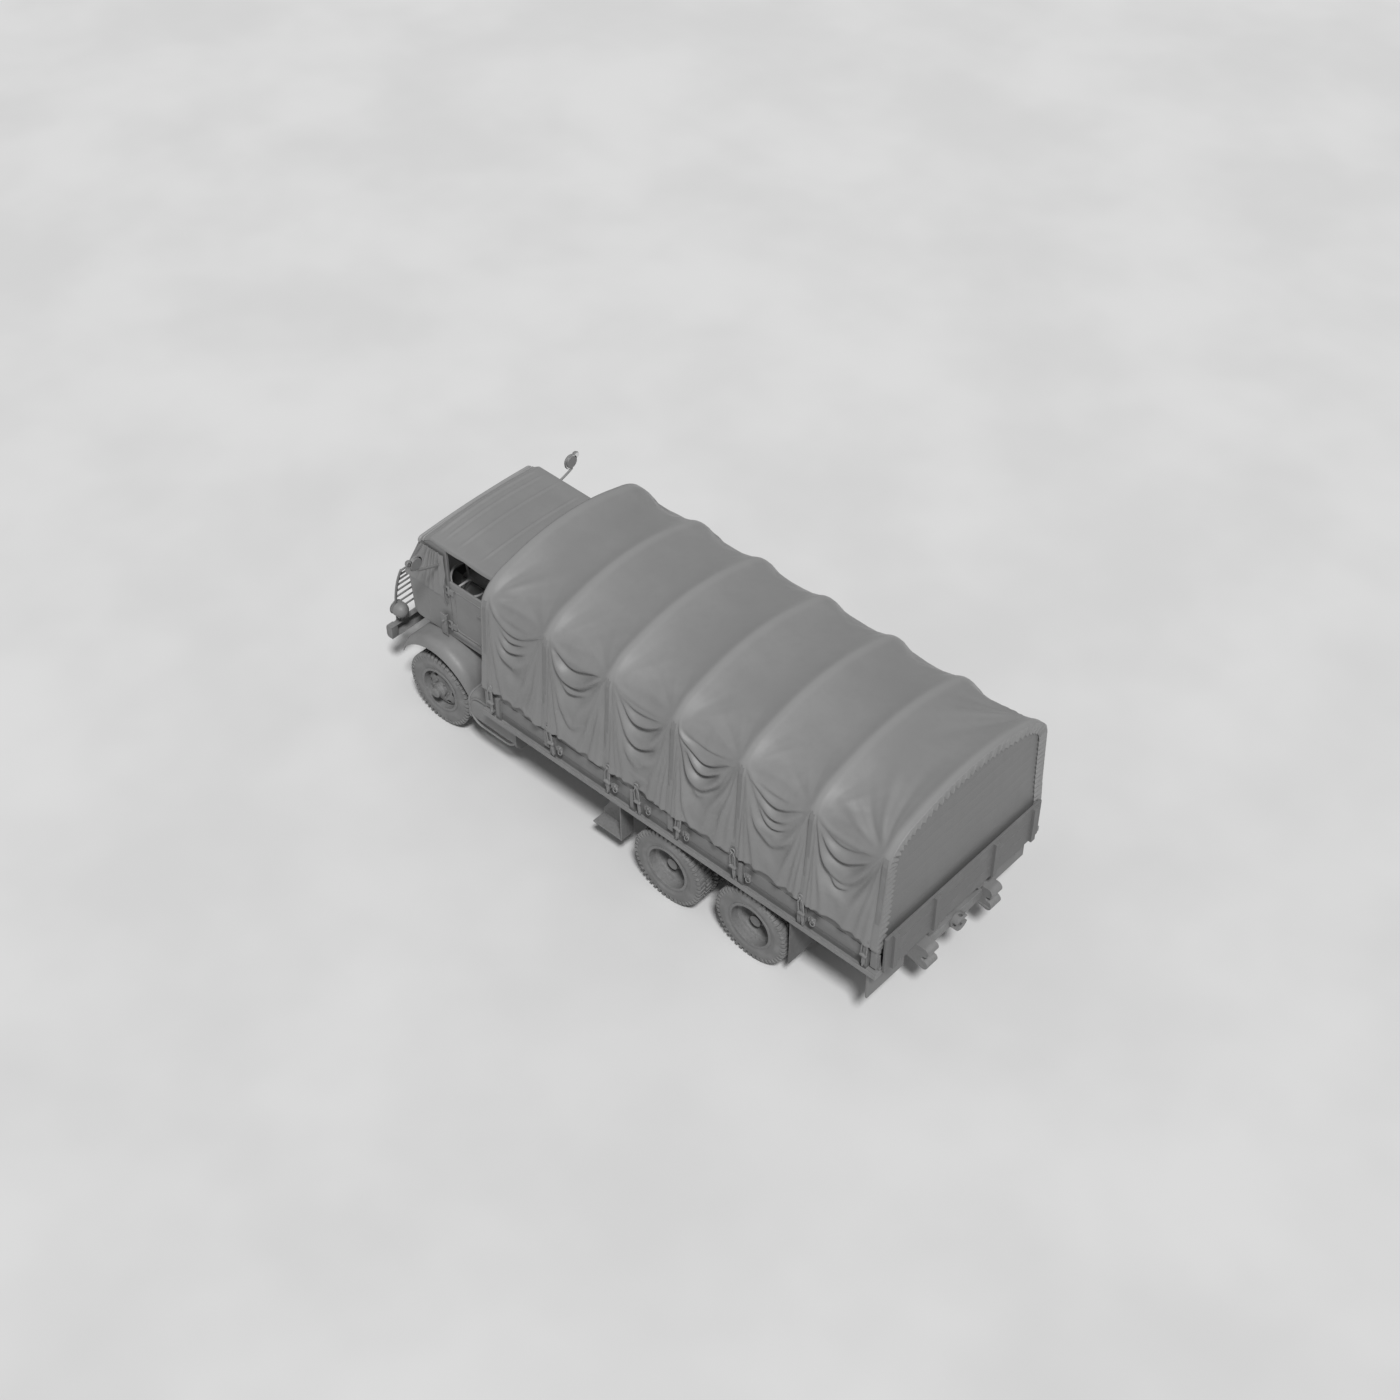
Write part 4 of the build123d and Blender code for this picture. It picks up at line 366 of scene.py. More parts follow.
class Shape:
    """Closed forms gathered into one mesh."""

    def __init__(self):
        self.points, self.faces = [], []

    def rings(self, rings, closed=False):
        """Skin over rings of points, with flat ends or closed into a loop."""
        start, count, last = len(self.points), len(rings[0]), len(rings)
        for ring in rings:
            self.points += [tuple(map(float, point)) for point in ring]
        for a in range(last if closed else last - 1):
            b = (a + 1) % last
            for i in range(count):
                j = (i + 1) % count
                self.faces.append([start + a * count + i, start + a * count + j, start + b * count + j,
                                   start + b * count + i])
        if not closed:
            self.faces.append([start + i for i in range(count)])
            self.faces.append([start + (last - 1) * count + i for i in range(count)])
        return self

    def tube(self, path, radius, sides=8, closed=False, up=(0, 0, 1)):
        """Round rod along a path; up is any direction that the path never takes."""
        path = np.asarray(path, float)
        ahead = np.roll(path, -1, 0) - np.roll(path, 1, 0) if closed else np.gradient(path, axis=0)
        ahead = ahead / np.linalg.norm(ahead, axis=1, keepdims=True)
        across = np.cross(ahead, np.broadcast_to(np.asarray(up, float), path.shape))
        across /= np.linalg.norm(across, axis=1, keepdims=True)
        above = np.cross(across, ahead)
        angle = tau * np.arange(sides) / sides
        return self.rings([p + r * (np.outer(np.cos(angle), a) + np.outer(np.sin(angle), b))
                           for p, r, a, b in zip(path, np.broadcast_to(radius, len(path)), across, above)], closed)

    def lathe(self, profile, centre, axis, sides=24):
        """Turned form; profile is radius and offset along the axis."""
        axis = Vector(axis).normalized()
        return self.rings([ring_path(Vector(centre) + axis * offset, radius, axis, sides)
                           for radius, offset in profile])

    def slab(self, outline, depth):
        """Prism from a flat outline along the vector depth."""
        outline = np.asarray(outline, float)
        return self.rings([outline, outline + np.asarray(depth, float)])

    def block(self, low, high):
        (x0, y0, z0), (x1, y1, z1) = low, high
        return self.slab([(x0, y0, z0), (x1, y0, z0), (x1, y1, z0), (x0, y1, z0)], (0, 0, z1 - z0))

    def side_block(self, side, xs, ys, zs):
        """Block on one side of the truck; ys are distances from its middle."""
        near, far = sorted(side * y for y in ys)
        return self.block((xs[0], near, zs[0]), (xs[1], far, zs[1]))

    def mesh(self, name, bevel=0.0):
        """Faces outwards, edges over 35 degrees kept sharp, or bevelled first."""
        mesh = bpy.data.meshes.new(name)
        mesh.from_pydata(self.points, [], self.faces)
        work = bmesh.new()
        work.from_mesh(mesh)
        bmesh.ops.recalc_face_normals(work, faces=work.faces)
        if bevel:
            sharp = [edge for edge in work.edges if edge.calc_face_angle(0) > radians(35)]
            bmesh.ops.bevel(work, geom=sharp, offset=bevel, segments=2, profile=0.6, affect="EDGES", clamp_overlap=True)
        work.to_mesh(mesh)
        work.free()
        mesh.set_sharp_from_angle(angle=radians(35))
        return mesh

    def piece(self, name, finish, body="truck", slot=None, smooth=True, bevel=0.0):
        return add_piece(name, self.mesh(name, bevel), finish, body, smooth)


def ring_path(centre, radius, normal, count=16):
    """Points round a circle."""
    normal = Vector(normal).normalized()
    side = normal.orthogonal().normalized()
    other = normal.cross(side)
    angles = [tau * i / count for i in range(count)]
    return [Vector(centre) + (side * cos(a) + other * sin(a)) * radius for a in angles]


def copies_tree():
    """Geometry Nodes tree: Shape on each of Points, turned by the point's own attribute."""
    tree = bpy.data.node_groups.new("place_copies", "GeometryNodeTree")
    for name, kind in (("Points", "Geometry"), ("Shape", "Object")):
        tree.interface.new_socket(name, in_out="INPUT", socket_type="NodeSocket" + kind)
    tree.interface.new_socket("Copies", in_out="OUTPUT", socket_type="NodeSocketGeometry")
    start, end, shape, turn, rotation, copies, realized = (tree.nodes.new(kind) for kind in (
        "NodeGroupInput", "NodeGroupOutput", "GeometryNodeObjectInfo", "GeometryNodeInputNamedAttribute",
        "FunctionNodeEulerToRotation", "GeometryNodeInstanceOnPoints", "GeometryNodeRealizeInstances"))
    turn.data_type = "FLOAT_VECTOR"
    turn.inputs["Name"].default_value = "turn"
    for source, out, target, into in (
            (start, "Points", copies, "Points"), (start, "Shape", shape, "Object"),
            (shape, "Geometry", copies, "Instance"), (turn, "Attribute", rotation, "Euler"),
            (rotation, "Rotation", copies, "Rotation"), (copies, "Instances", realized, "Geometry"),
            (realized, "Geometry", end, "Copies")):
        tree.links.new(source.outputs[out], target.inputs[into])
    return tree


COPIES = copies_tree()


def place_copies(name, shape_mesh, places):
    """Plain mesh of a shape copied to places, each a point and the turns about x, y and z."""
    shape = bpy.data.objects.new(name + "_shape", shape_mesh)
    point_mesh = bpy.data.meshes.new(name + "_points")
    point_mesh.from_pydata([point for point, _ in places], [], [])
    turn = point_mesh.attributes.new("turn", "FLOAT_VECTOR", "POINT")
    turn.data.foreach_set("vector", np.array([angles for _, angles in places], np.float32).ravel())
    host = bpy.data.objects.new(name + "_points", point_mesh)
    for made in (shape, host):
        link(made)
    modifier = host.modifiers.new("copies", "NODES")
    modifier.node_group = COPIES
    inputs = {item.name: item.identifier for item in COPIES.interface.items_tree if item.in_out == "INPUT"}
    modifier[inputs["Shape"]] = shape
    mesh = bpy.data.meshes.new_from_object(host.evaluated_get(bpy.context.evaluated_depsgraph_get()))
    mesh.name = name
    bpy.data.objects.remove(host)
    bpy.data.objects.remove(shape)
    return mesh


# Cover: arch over the bows
COVER_HEM = (1.280, 1.290)
COVER_SHOULDER, COVER_BEND, COVER_CROWN = (1.212, 2.480), (1.098, 2.655), (0.800, 2.795)
COVER_TOP_Z = 2.916
BOW_HALF_WIDTH = 0.023
SIDE_ROWS, BEND_ROWS, TOP_ROWS = 100, 22, 60


def arc_through(a, b, c, count):
    """Points on the circle from a through b to c."""
    (ax, ay), (bx, by), (cx, cy) = a, b, c
    d = 2 * (ax * (by - cy) + bx * (cy - ay) + cx * (ay - by))
    ux = ((ax ** 2 + ay ** 2) * (by - cy) + (bx ** 2 + by ** 2) * (cy - ay) + (cx ** 2 + cy ** 2) * (ay - by)) / d
    uy = ((ax ** 2 + ay ** 2) * (cx - bx) + (bx ** 2 + by ** 2) * (ax - cx) + (cx ** 2 + cy ** 2) * (bx - ax)) / d
    start, middle, end = (np.arctan2(y - uy, x - ux) for x, y in (a, b, c))
    turn = (end - start) % tau
    if (middle - start) % tau > turn:
        turn -= tau
    t = start + turn * np.linspace(0, 1, count)
    radius = np.hypot(ax - ux, ay - uy)
    return np.stack([ux + radius * np.cos(t), uy + radius * np.sin(t)], -1)


def arch_profile():
    """Cross-section of the cover from the left hem over the top to the right hem, with each point's outward normal."""
    up = 1 - (1 - np.arange(SIDE_ROWS) / SIDE_ROWS) ** 1.2
    side = np.array(COVER_HEM) + np.outer(up, np.subtract(COVER_SHOULDER, COVER_HEM))
    bend = arc_through(COVER_SHOULDER, COVER_BEND, COVER_CROWN, BEND_ROWS)[:-1]
    top = arc_through(COVER_CROWN, (0, COVER_TOP_Z), (-COVER_CROWN[0], COVER_CROWN[1]), TOP_ROWS)
    half = np.vstack([side, bend])
    line = np.vstack([half, top, (half * [-1, 1])[::-1]])
    for _ in range(16):
        line[1:-1] = (line[:-2] + 2 * line[1:-1] + line[2:]) / 4
    tangent = np.gradient(line, axis=0)
    tangent /= np.linalg.norm(tangent, axis=1, keepdims=True)
    normal = np.stack([tangent[:, 1], -tangent[:, 0]], -1)
    return line, normal


# Cover: one sheet over the bows, hung in swags between their corners
SPAN_COLUMNS, CORNER_Z = 50, 2.56
# How far each groove hangs below the bow corners at mid-span, its depth and its half-width
SWAGS = ((0.15, 0.016, 0.032), (0.26, 0.052, 0.036), (0.41, 0.056, 0.048), (0.64, 0.048, 0.062), (1.02, 0.046, 0.075),
         (1.8, 0.046, 0.072), (3.4, 0.036, 0.055))
HEM_LIFT, HEM_SWING, HEM_WAVE = 0.10, 0.045, 0.008
# Outer face and top of the stakes under the bows, which the canvas stays outside
STAKE_FACE_Y, STAKE_TOP_Z = 1.260, 1.566
# Rims: place along the truck, inset from the arch
REAR_RIM = ((-3.579, 0.005), (-3.583, 0.018), (-3.584, 0.045), (-3.582, 0.08), (-3.577, 0.112))
FRONT_RIM = ((1.689, 0.10), (1.692, 0.07), (1.694, 0.03), (1.693, 0.008))
RIM_DEPTH, PLEAT_PITCH, PLEAT_IN, PLEAT_OUT = 0.112, 0.075, 0.045, 0.034
# Sag between the bows at depths below the bow corners
HOLLOWS = ((-1.6, 0.056), (-0.7, 0.060), (-0.15, 0.070), (0.05, 0.062), (0.25, 0.04), (0.6, 0.018), (1.25, 0.0))
# Wrinkles from the bow corners: height, reach, count; stronger in the end spans
RAY_HEIGHT, RAY_REACH, RAY_COUNT = 0.010, 0.55, 9.0
FIRST_SPAN, LAST_SPAN, LAST_REACH = 3.2, 2.4, 0.9
# Seam tapes: depths of their edges, height
TAPES = ((0.90, 0.912, 0.0035), (1.195, 1.205, 0.0025))
# Hem turned in: how far in and up from the edge, and the cloth it takes
HEM = ((0.009, 0.036, 0.04), (0.009, 0.004, 0.01), (0.004, -0.002, 0.004))


def span_stations():
    """Columns from front to rear, denser next to the bows: x, number of the span, share of it."""
    step = np.arange(SPAN_COLUMNS) / SPAN_COLUMNS
    share = step - 0.09 * np.sin(tau * step)
    rows = [(BED_FRONT_X - 0.005 - gap, 0, 0.0) for gap in (0.0, 0.018, 0.034)]
    rows += [(BOW_XS[i] - BOW_PITCH * s, i, s) for i in range(BOW_COUNT - 1) for s in share]
    rows += [(BOW_XS[-1] - gap, BOW_COUNT - 2, 1.0) for gap in (0.0, 0.018, 0.034, 0.045)]
    return [np.array(column) for column in zip(*rows)]


def swags(depth, share, seed):
    """Grooves hung between two bow corners and the bulges between them, outwards positive."""
    rng = np.random.default_rng(seed)
    place = share + rng.uniform(-0.1, 0.45) * share * (1 - share)
    bowl = np.clip(4 * place * (1 - place), 0.004, 1)
    drop = np.maximum(depth, 0) / bowl
    steep = np.hypot(1 / bowl, drop / bowl * 4 * (1 - 2 * place) / BOW_PITCH)
    wander = ripple(share * 2.5, depth * 2.0, seed + 7, low=1.5, high=5.0)
    taper = np.minimum(bowl, 1) ** 0.5
    total = np.zeros(np.broadcast(depth, share).shape)
    for level, groove, width in SWAGS:
        level = level * rng.uniform(0.84, 1.16)
        away = (drop - level * (1 + 0.1 * wander)) / steep
        width = width * taper * rng.uniform(0.85, 1.2)
        groove = groove * taper * rng.uniform(0.8, 1.35) * (0.75 + 0.4 * share)
        total -= groove * (np.exp(-(away / width) ** 2) - 0.6 * np.exp(-((away + 1.7 * width) / (1.3 * width)) ** 2)
                           - 0.35 * np.exp(-((away - 1.8 * width) / (1.4 * width)) ** 2))
    return total * smoothstep(depth, -0.08, 0.14) * (1 - 0.4 * smoothstep(depth, 0.8, 1.2))


def corner_rays(rise, along, seed, reach, count):
    """Long soft wrinkles that fan out over the roof from a bow corner."""
    angle = np.arctan2(np.maximum(rise, 0), np.maximum(along, 1e-4))
    distance = np.hypot(rise, along)
    wave = np.sin(angle * count + 1.5 * ripple(along, rise, seed, low=1.0, high=4.0)) ** 3
    return wave * smoothstep(distance, 0.05, 0.22) * np.exp(-(distance / reach) ** 2) * smoothstep(rise, 0.0, 0.08)


def draped_cover():
    """Points and cloth map of the cover, from the left hem over the bows to the right hem."""
    line, normal = arch_profile()
    length = np.concatenate([[0], np.cumsum(np.linalg.norm(np.diff(line, axis=0), axis=1))])
    middle = length[-1] / 2
    half = len(line) // 2
    corner = np.interp(CORNER_Z, line[:half, 1], length[:half])
    depth = (corner - np.where(length < middle, length, length[-1] - length))[:, None]
    x, span, share = span_stations()
    edge = (BOW_HALF_WIDTH + 0.012) / BOW_PITCH
    bare = np.clip((share - edge) / (1 - 2 * edge), 0, 1)[None, :]
    belly = 4 * bare * (1 - bare)
    trough = 0.5 * belly + 0.5 * (1 - (2 * bare - 1) ** 4)
    for _ in range(7):
        trough[:, 1:-1] = (trough[:, :-2] + 2 * trough[:, 1:-1] + trough[:, 2:]) / 4
    offset = -np.interp(depth, *zip(*HOLLOWS)) * trough
    for i in range(BOW_COUNT - 1):
        columns = np.flatnonzero(span == i)
        for rows, side in ((slice(0, half), 0), (slice(half, None), 1)):
            here = np.ix_(np.arange(len(line))[rows], columns)
            seed = 40 + 2 * i + side
            offset[here] += swags(depth[rows], bare[:, columns], seed)
            rise = -depth[rows]
            ahead = bare[:, columns] * BOW_PITCH
            first = FIRST_SPAN if i == 0 else 1.0
            last, reach = (LAST_SPAN, LAST_REACH) if i == BOW_COUNT - 2 else (1.0, RAY_REACH)
            offset[here] += belly[:, columns] * (
                RAY_HEIGHT * first * corner_rays(rise, ahead, seed, RAY_REACH, RAY_COUNT)
                + RAY_HEIGHT * last * corner_rays(rise, BOW_PITCH - ahead, seed + 3, reach, RAY_COUNT))
    grid_x = np.broadcast_to(x, offset.shape)
    offset += 0.004 * ripple(grid_x * 0.8, depth, 5) * belly
    offset += 0.010 * smoothstep(depth, 0.75, 1.25) * ripple(grid_x, 0 * depth, 9, low=9, high=26)
    offset += sum(height * smoothstep(depth, low, high) for low, high, height in TAPES)
    points = np.stack([grid_x, line[:, :1] + normal[:, :1] * offset, line[:, 1:] + normal[:, 1:] * offset], -1)
    sway = 1 + 0.5 * ripple(grid_x * 0.5, 0 * depth, 11)
    lift = HEM_LIFT + HEM_SWING * belly * sway + HEM_WAVE * ripple(grid_x, 0 * depth, 12)
    points[..., 2] += np.maximum(lift, 0) * smoothstep(depth, 0.35, 1.3)
    rest = STAKE_FACE_Y - 0.06 * smoothstep(points[..., 2], STAKE_TOP_Z, STAKE_TOP_Z + 0.1)
    on_side = points[..., 2] < STAKE_TOP_Z + 0.1
    kept_out = np.sign(points[..., 1]) * np.maximum(np.abs(points[..., 1]), rest)
    points[..., 1] = np.where(on_side, kept_out, points[..., 1])
    uv = np.stack([grid_x, np.broadcast_to(length[:, None], offset.shape)], -1)

    def rim(stations, column, seed):
        """Gathered edge that turns in over the end bow."""
        pleat = np.abs(np.sin(pi * length / PLEAT_PITCH + 2.2 * ripple(length, 0 * length, seed))) ** 0.9
        added, mapped = [], []
        for station, inset in stations:
            turn = inset / RIM_DEPTH
            inward = inset + PLEAT_IN * turn * (pleat - 0.5)
            ring = points[:, column].copy()
            ring[:, 0] = station + PLEAT_OUT * turn ** 0.35 * (1 - pleat) * (1 if station < 0 else -1)
            ring[:, 1] -= normal[:, 0] * inward
            ring[:, 2] -= normal[:, 1] * inward
            added.append(ring)
            mapped.append(np.stack([points[:, column, 0] + np.sign(station) * inset, length], -1))
        return np.stack(added, 1), np.stack(mapped, 1)

    front, front_uv = rim(FRONT_RIM, 0, 21)
    rear, rear_uv = rim(REAR_RIM, -1, 22)
    points = np.concatenate([front, points, rear], 1)
    uv = np.concatenate([front_uv, uv, rear_uv], 1)
    points = np.concatenate([*(points[:1] + [0, -inward, up] for inward, up, _ in HEM), points,
                             *(points[-1:] + [0, inward, up] for inward, up, _ in HEM[::-1])])
    uv = np.concatenate([*(uv[:1] - [0, taken] for _, _, taken in HEM), uv,
                         *(uv[-1:] + [0, taken] for _, _, taken in HEM[::-1])])
    return points, uv


PANEL_ROWS, PANEL_COLUMNS = 150, 60


def end_panel(x, half_width, bottom, inset, folds):
    """Flat end sheet inside the cover's rim with soft folds; folds(y, z) moves it along x."""
    y = np.linspace(half_width, -half_width, PANEL_COLUMNS)[None, :] + np.zeros((PANEL_ROWS, 1))
    line, normal = arch_profile()
    top = np.interp(y, *(line - normal * inset)[::-1].T)
    z = bottom + (top - bottom) * np.linspace(0, 1, PANEL_ROWS)[:, None]
    return np.stack([x + folds(y, z), y, z], -1), np.stack([y, z], -1)


def front_folds(y, z):
    """Slack of the front panel."""
    return 0.006 * ripple(y * 1.5, z * 0.5, 31) - 0.004


def curtain_folds(y, z):
    """Level seams of the rear curtain and its slack."""
    return 0.004 * np.abs(np.sin(z * 21 + 0.25 * ripple(y, z, 34))) ** 0.2 + 0.002 * ripple(y * 1.2, z * 0.4, 33)


cover = add_sheet("cover_sheet", draped_cover(), cover_canvas, flip=True)
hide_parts("cover")

front_cloth = end_panel(x=1.684, half_width=1.19, bottom=1.24, inset=0.075, folds=front_folds)
front_panel = add_sheet("cover_front", front_cloth, cover_canvas)

rear_cloth = end_panel(x=-3.5625, half_width=1.165, bottom=1.229, inset=0.095, folds=curtain_folds)
# The rear curtain takes the darker canvas: painted shade
rear_sheet = add_sheet("rear_curtain_sheet", rear_cloth, shaded_curtain_canvas, flip=True)
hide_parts("rear_curtain")

# Tyres: rounded carcass with shoulder lugs, in place of the solids' faceted rings
TYRE_SIDES, SHOULDER_LUGS = 96, 46
CARCASS = ((0.2565, 0.070), (0.262, 0.0845), (0.274, 0.0905), (0.283, 0.0885), (0.305, 0.0965), (0.330, 0.1005),
           (0.336, 0.1025), (0.342, 0.1010), (0.378, 0.1022), (0.404, 0.0960), (0.424, 0.0850), (0.4350, 0.070),
           (0.4400, 0.030))
# Lug sections from the sidewall to the middle of the tread:
# radius and place of the top, radius and place of the foot, half-width, lean
LUG = ((0.394, 0.1005, 0.394, 0.0900, 0.0120, 0.000), (0.436, 0.1010, 0.415, 0.0800, 0.0165, 0.002),
       (0.4578, 0.0860, 0.430, 0.0700, 0.0165, 0.004), (0.4573, 0.0130, 0.436, 0.0130, 0.0140, 0.018))
NUT_RADIUS, NUT_HEIGHT, NUT_CIRCLE, NUT_COUNT = 0.014, 0.018, 0.112, 6
# Profile of a nut and its stud, in shares of radius and height
NUT = ((1.0, 0.0), (1.0, 0.75), (0.8, 1.0), (0.45, 1.0), (0.4, 1.5))
TWIN_YS = (REAR_TYRE_Y, REAR_TYRE_Y - TWIN_SPACING)
# Body, place along the truck, places of the tyres and of the nuts' seat across it
TYRE_NODES = {"tyre_front": ("wheel_front", AXLE_X, (FRONT_TYRE_Y,), FRONT_TYRE_Y + 0.058),
              "tyres_mid": ("wheels_mid", MID_AXLE_X, TWIN_YS, REAR_TYRE_Y - 0.114),
              "tyres_rear": ("wheels_rear", REAR_AXLE_X, TWIN_YS, REAR_TYRE_Y - 0.114)}


def carcass(centres):
    shape = Shape()
    profile = CARCASS + tuple((radius, -place) for radius, place in CARCASS[::-1])
    angle = tau * np.arange(TYRE_SIDES) / TYRE_SIDES
    round_x, round_z = np.sin(angle), np.cos(angle)
    for x, y, z in centres:
        shape.rings([np.stack([x + radius * round_x, np.full(TYRE_SIDES, y + place), z + radius * round_z], -1)
                     for radius, place in profile], closed=True)
    return shape


lug_mesh = Shape().rings([[(lean + wide, out, top), (lean - wide, out, top), (lean - wide, under, foot),
                           (lean + wide, under, foot)] for top, out, foot, under, wide, lean in LUG]).mesh("lug")
nut_profile = [(NUT_RADIUS * wide, NUT_HEIGHT * up) for wide, up in NUT]
nut_mesh = Shape().lathe(nut_profile, (0, 0, 0), (0, 0, 1), 6).mesh("nut")

for node, (body, x, ys, seat) in TYRE_NODES.items():
    for side_name, side in SIDES.items():
        centres = [(x, side * y, AXLE_Z) for y in ys]
        place, wheel = f"{node}_{side_name}", f"{body}_{side_name}"
        tyre = carcass(centres).piece(f"{place}_carcass", rubber, wheel, "tyre")
        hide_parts(place)
        lugs = [(centre, (0, tau * (i + 0.5 * (turn > 0)) / SHOULDER_LUGS, turn))
                for centre in centres for i in range(SHOULDER_LUGS) for turn in (0, pi)]
        add_piece(f"{place}_lugs", place_copies("lugs", lug_mesh, lugs), rubber, wheel, smooth=False)
        nuts = [((x + NUT_CIRCLE * sin(a), side * seat, AXLE_Z + NUT_CIRCLE * cos(a)), (-side * pi / 2, 0, 0))
                for a in (tau * (i + 0.5) / NUT_COUNT for i in range(NUT_COUNT))]
        add_piece(f"{place}_nuts", place_copies("nuts", nut_mesh, nuts), hook_steel, wheel, smooth=False)

# Side fittings: tie straps from the cover's hem to the rail, and rings between them
TIE_XS = (1.567, 0.718, -0.126, -0.513, -1.095, -1.791, -2.651, -3.443)
RING_XS = (0.566, -0.211, -0.667, -1.182, -1.987, -2.80)
TIE_TOP_Z, TIE_FOOT_Z, TIE_Y = 1.45, 1.10, 1.266
TIE_LEANS = (0.0, 0.16, -0.05, 0.1, -0.12, 0.05, 0.1, -0.06)
RING_Y, RING_Z = TIE_Y - 0.006, 1.215


def tie_strap():
    """Strap with an eye at its top, a ratchet in its middle and a hook at its foot; hangs down from the origin."""
    drop = TIE_TOP_Z - TIE_FOOT_Z
    shape = Shape().tube(ring_path((0, 0.010, 0.01), 0.030, (0, 1, 0), 16), 0.009, 6, True, (0, 1, 0))
    shape.block((-0.021, 0.0, -drop), (0.021, 0.009, -0.018))
    for x in (-0.030, 0.030):
        shape.tube([(x, 0.018, -0.20), (x, 0.018, -0.06), (x / 3, 0.016, -0.02)], 0.009, 6, up=(0, 1, 0))
    shape.lathe(((0.016, -0.042), (0.019, -0.034), (0.019, 0.034), (0.016, 0.042)), (0, 0.016, -0.205), (1, 0, 0), 12)
    shape.tube([(0, 0.006, -drop + 0.03), (0, 0.018, -drop), (0, 0.012, -drop - 0.022), (0, -0.006, -drop - 0.014)],
               0.008, 6, up=(1, 0, 0))
    return shape


def side_ring():
    """Lashing ring in its plate, with the latch beside it."""
    shape = Shape().block((-0.032, 0.0, -0.045), (0.032, 0.006, 0.045))
    shape.tube(ring_path((0, 0.013, -0.03), 0.026, (0, 1, 0.35), 14), 0.006, 6, True, (0, 1, 0.35))
    shape.lathe(((0.013, 0), (0.013, 0.012), (0.008, 0.018)), (0, 0.006, 0.022), (0, 1, 0), 10)
    return shape.block((0.036, 0.0, -0.03), (0.052, 0.012, 0.03))


for side_name, side in SIDES.items():
    turn = 0 if side == LEFT else pi
    ties = [((x, side * TIE_Y, TIE_TOP_Z), (0, lean, turn)) for x, lean in zip(TIE_XS, TIE_LEANS)]
    add_piece(f"tie_straps_{side_name}", place_copies("ties", tie_strap().mesh("tie"), ties), paint)
    rings = [((x, side * RING_Y, RING_Z), (0, 0, turn)) for x in RING_XS]
    add_piece(f"lashing_rings_{side_name}", place_copies("rings", side_ring().mesh("ring"), rings), paint)

# Tongues that close the slits between the bed sides' boards
TONGUE = (-3.560, 1.670), (1.206, 1.219), (1.277, 1.326)
tongues = Shape()
for side in SIDES.values():
    tongues.side_block(side, *TONGUE)
tongues.piece("side_tongues", boards, slot="boards", smooth=False, bevel=0.003)

# Cab roof: canvas over the header and the rear bow, with a rolled front edge, seams and a slack hem
ROOF_HALF_WIDTH, ROOF_SKIRT, ROOF_ROUND = 0.809, 0.036, 0.034
ROOF_STATIONS, ROOF_EAVES, ROOF_TOPS = (1.870, 2.863, 3.040), (2.435, 2.450, 2.340), (2.470, 2.505, 2.362)
ROOF_SEAMS, SEAM_WIDTH, SEAM_HEIGHT = (2.975, 2.925, 2.835, 2.72, 2.52, 2.20), 0.012, 0.009
SCALLOP_X, SCALLOP_PITCH, SCALLOP_DEPTH, ROOF_SLACK = 1.89, 0.47, 0.020, 0.014


def roof_arch(x, skirt):
    """Cross-section of the cab roof at x, from the left hem to the right one."""
    eave, top = np.interp(x, ROOF_STATIONS, ROOF_EAVES), np.interp(x, ROOF_STATIONS, ROOF_TOPS)
    round_angle = np.linspace(0, pi / 2, 9)
    edge = np.stack([ROOF_HALF_WIDTH - ROOF_ROUND * (1 - np.cos(round_angle)),
                     eave - ROOF_ROUND * (1 - np.sin(round_angle))], -1)
    side = np.stack([np.full(6, ROOF_HALF_WIDTH), np.linspace(eave - skirt, eave - ROOF_ROUND, 6, endpoint=False)], -1)
    flat_y = np.linspace(ROOF_HALF_WIDTH - ROOF_ROUND, ROOF_ROUND - ROOF_HALF_WIDTH, 62)[1:-1]
    crown = np.stack([flat_y, eave + (top - eave) * (1 - (flat_y / (ROOF_HALF_WIDTH - ROOF_ROUND)) ** 2)], -1)
    half = np.vstack([side, edge])
    return np.vstack([half, crown, (half * [-1, 1])[::-1]])


def cab_roof_sheet():
    rear, bend, front = ROOF_STATIONS
    points, mapped = [], []
    for x in np.linspace(front, rear, 110):
        scallop = SCALLOP_DEPTH * abs(sin(pi * (x - SCALLOP_X) / SCALLOP_PITCH)) ** 0.7 * (x < bend)
        arch = roof_arch(x, ROOF_SKIRT + scallop)
        y, z = arch[:, 0], arch[:, 1]
        inside = smoothstep(ROOF_HALF_WIDTH - np.abs(y), 0.03, 0.25)
        seam = sum(np.exp(-((x - at) / SEAM_WIDTH) ** 2) - 0.5 * np.exp(-((x - at + 0.03) / SEAM_WIDTH) ** 2)
                   for at in ROOF_SEAMS)
        slack = ROOF_SLACK * sin(pi * (x - rear) / (bend - rear)) ** 2 * inside * (x < bend)
        wrinkle = 0.005 * ripple(np.full_like(y, x * 1.4), y * 2.5, 51) * (0.3 + 0.7 * smoothstep(np.abs(y), 0.35, 0.8))
        lifted = z + SEAM_HEIGHT * seam * inside - slack + np.minimum(wrinkle, 0) * inside
        points.append(np.stack([np.full_like(y, x), y, lifted], -1))
        length = np.concatenate([[0], np.cumsum(np.hypot(np.diff(y), np.diff(z)))])
        mapped.append(np.stack([np.full_like(y, x), length], -1))
    return np.stack(points), np.stack(mapped)


roof_sheet = add_sheet("cab_roof_sheet", cab_roof_sheet(), roof_canvas)
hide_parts("cab_roof")

header = Shape()
for x, radius in ((3.026, 0.022), (2.968, 0.009)):
    arch = roof_arch(x, ROOF_SKIRT)[4:-4]
    header.tube(np.column_stack([np.full(len(arch), x), arch]), radius, 8, up=(1, 0, 0))
header.piece("roof_header", header_canvas, slot="canvas")

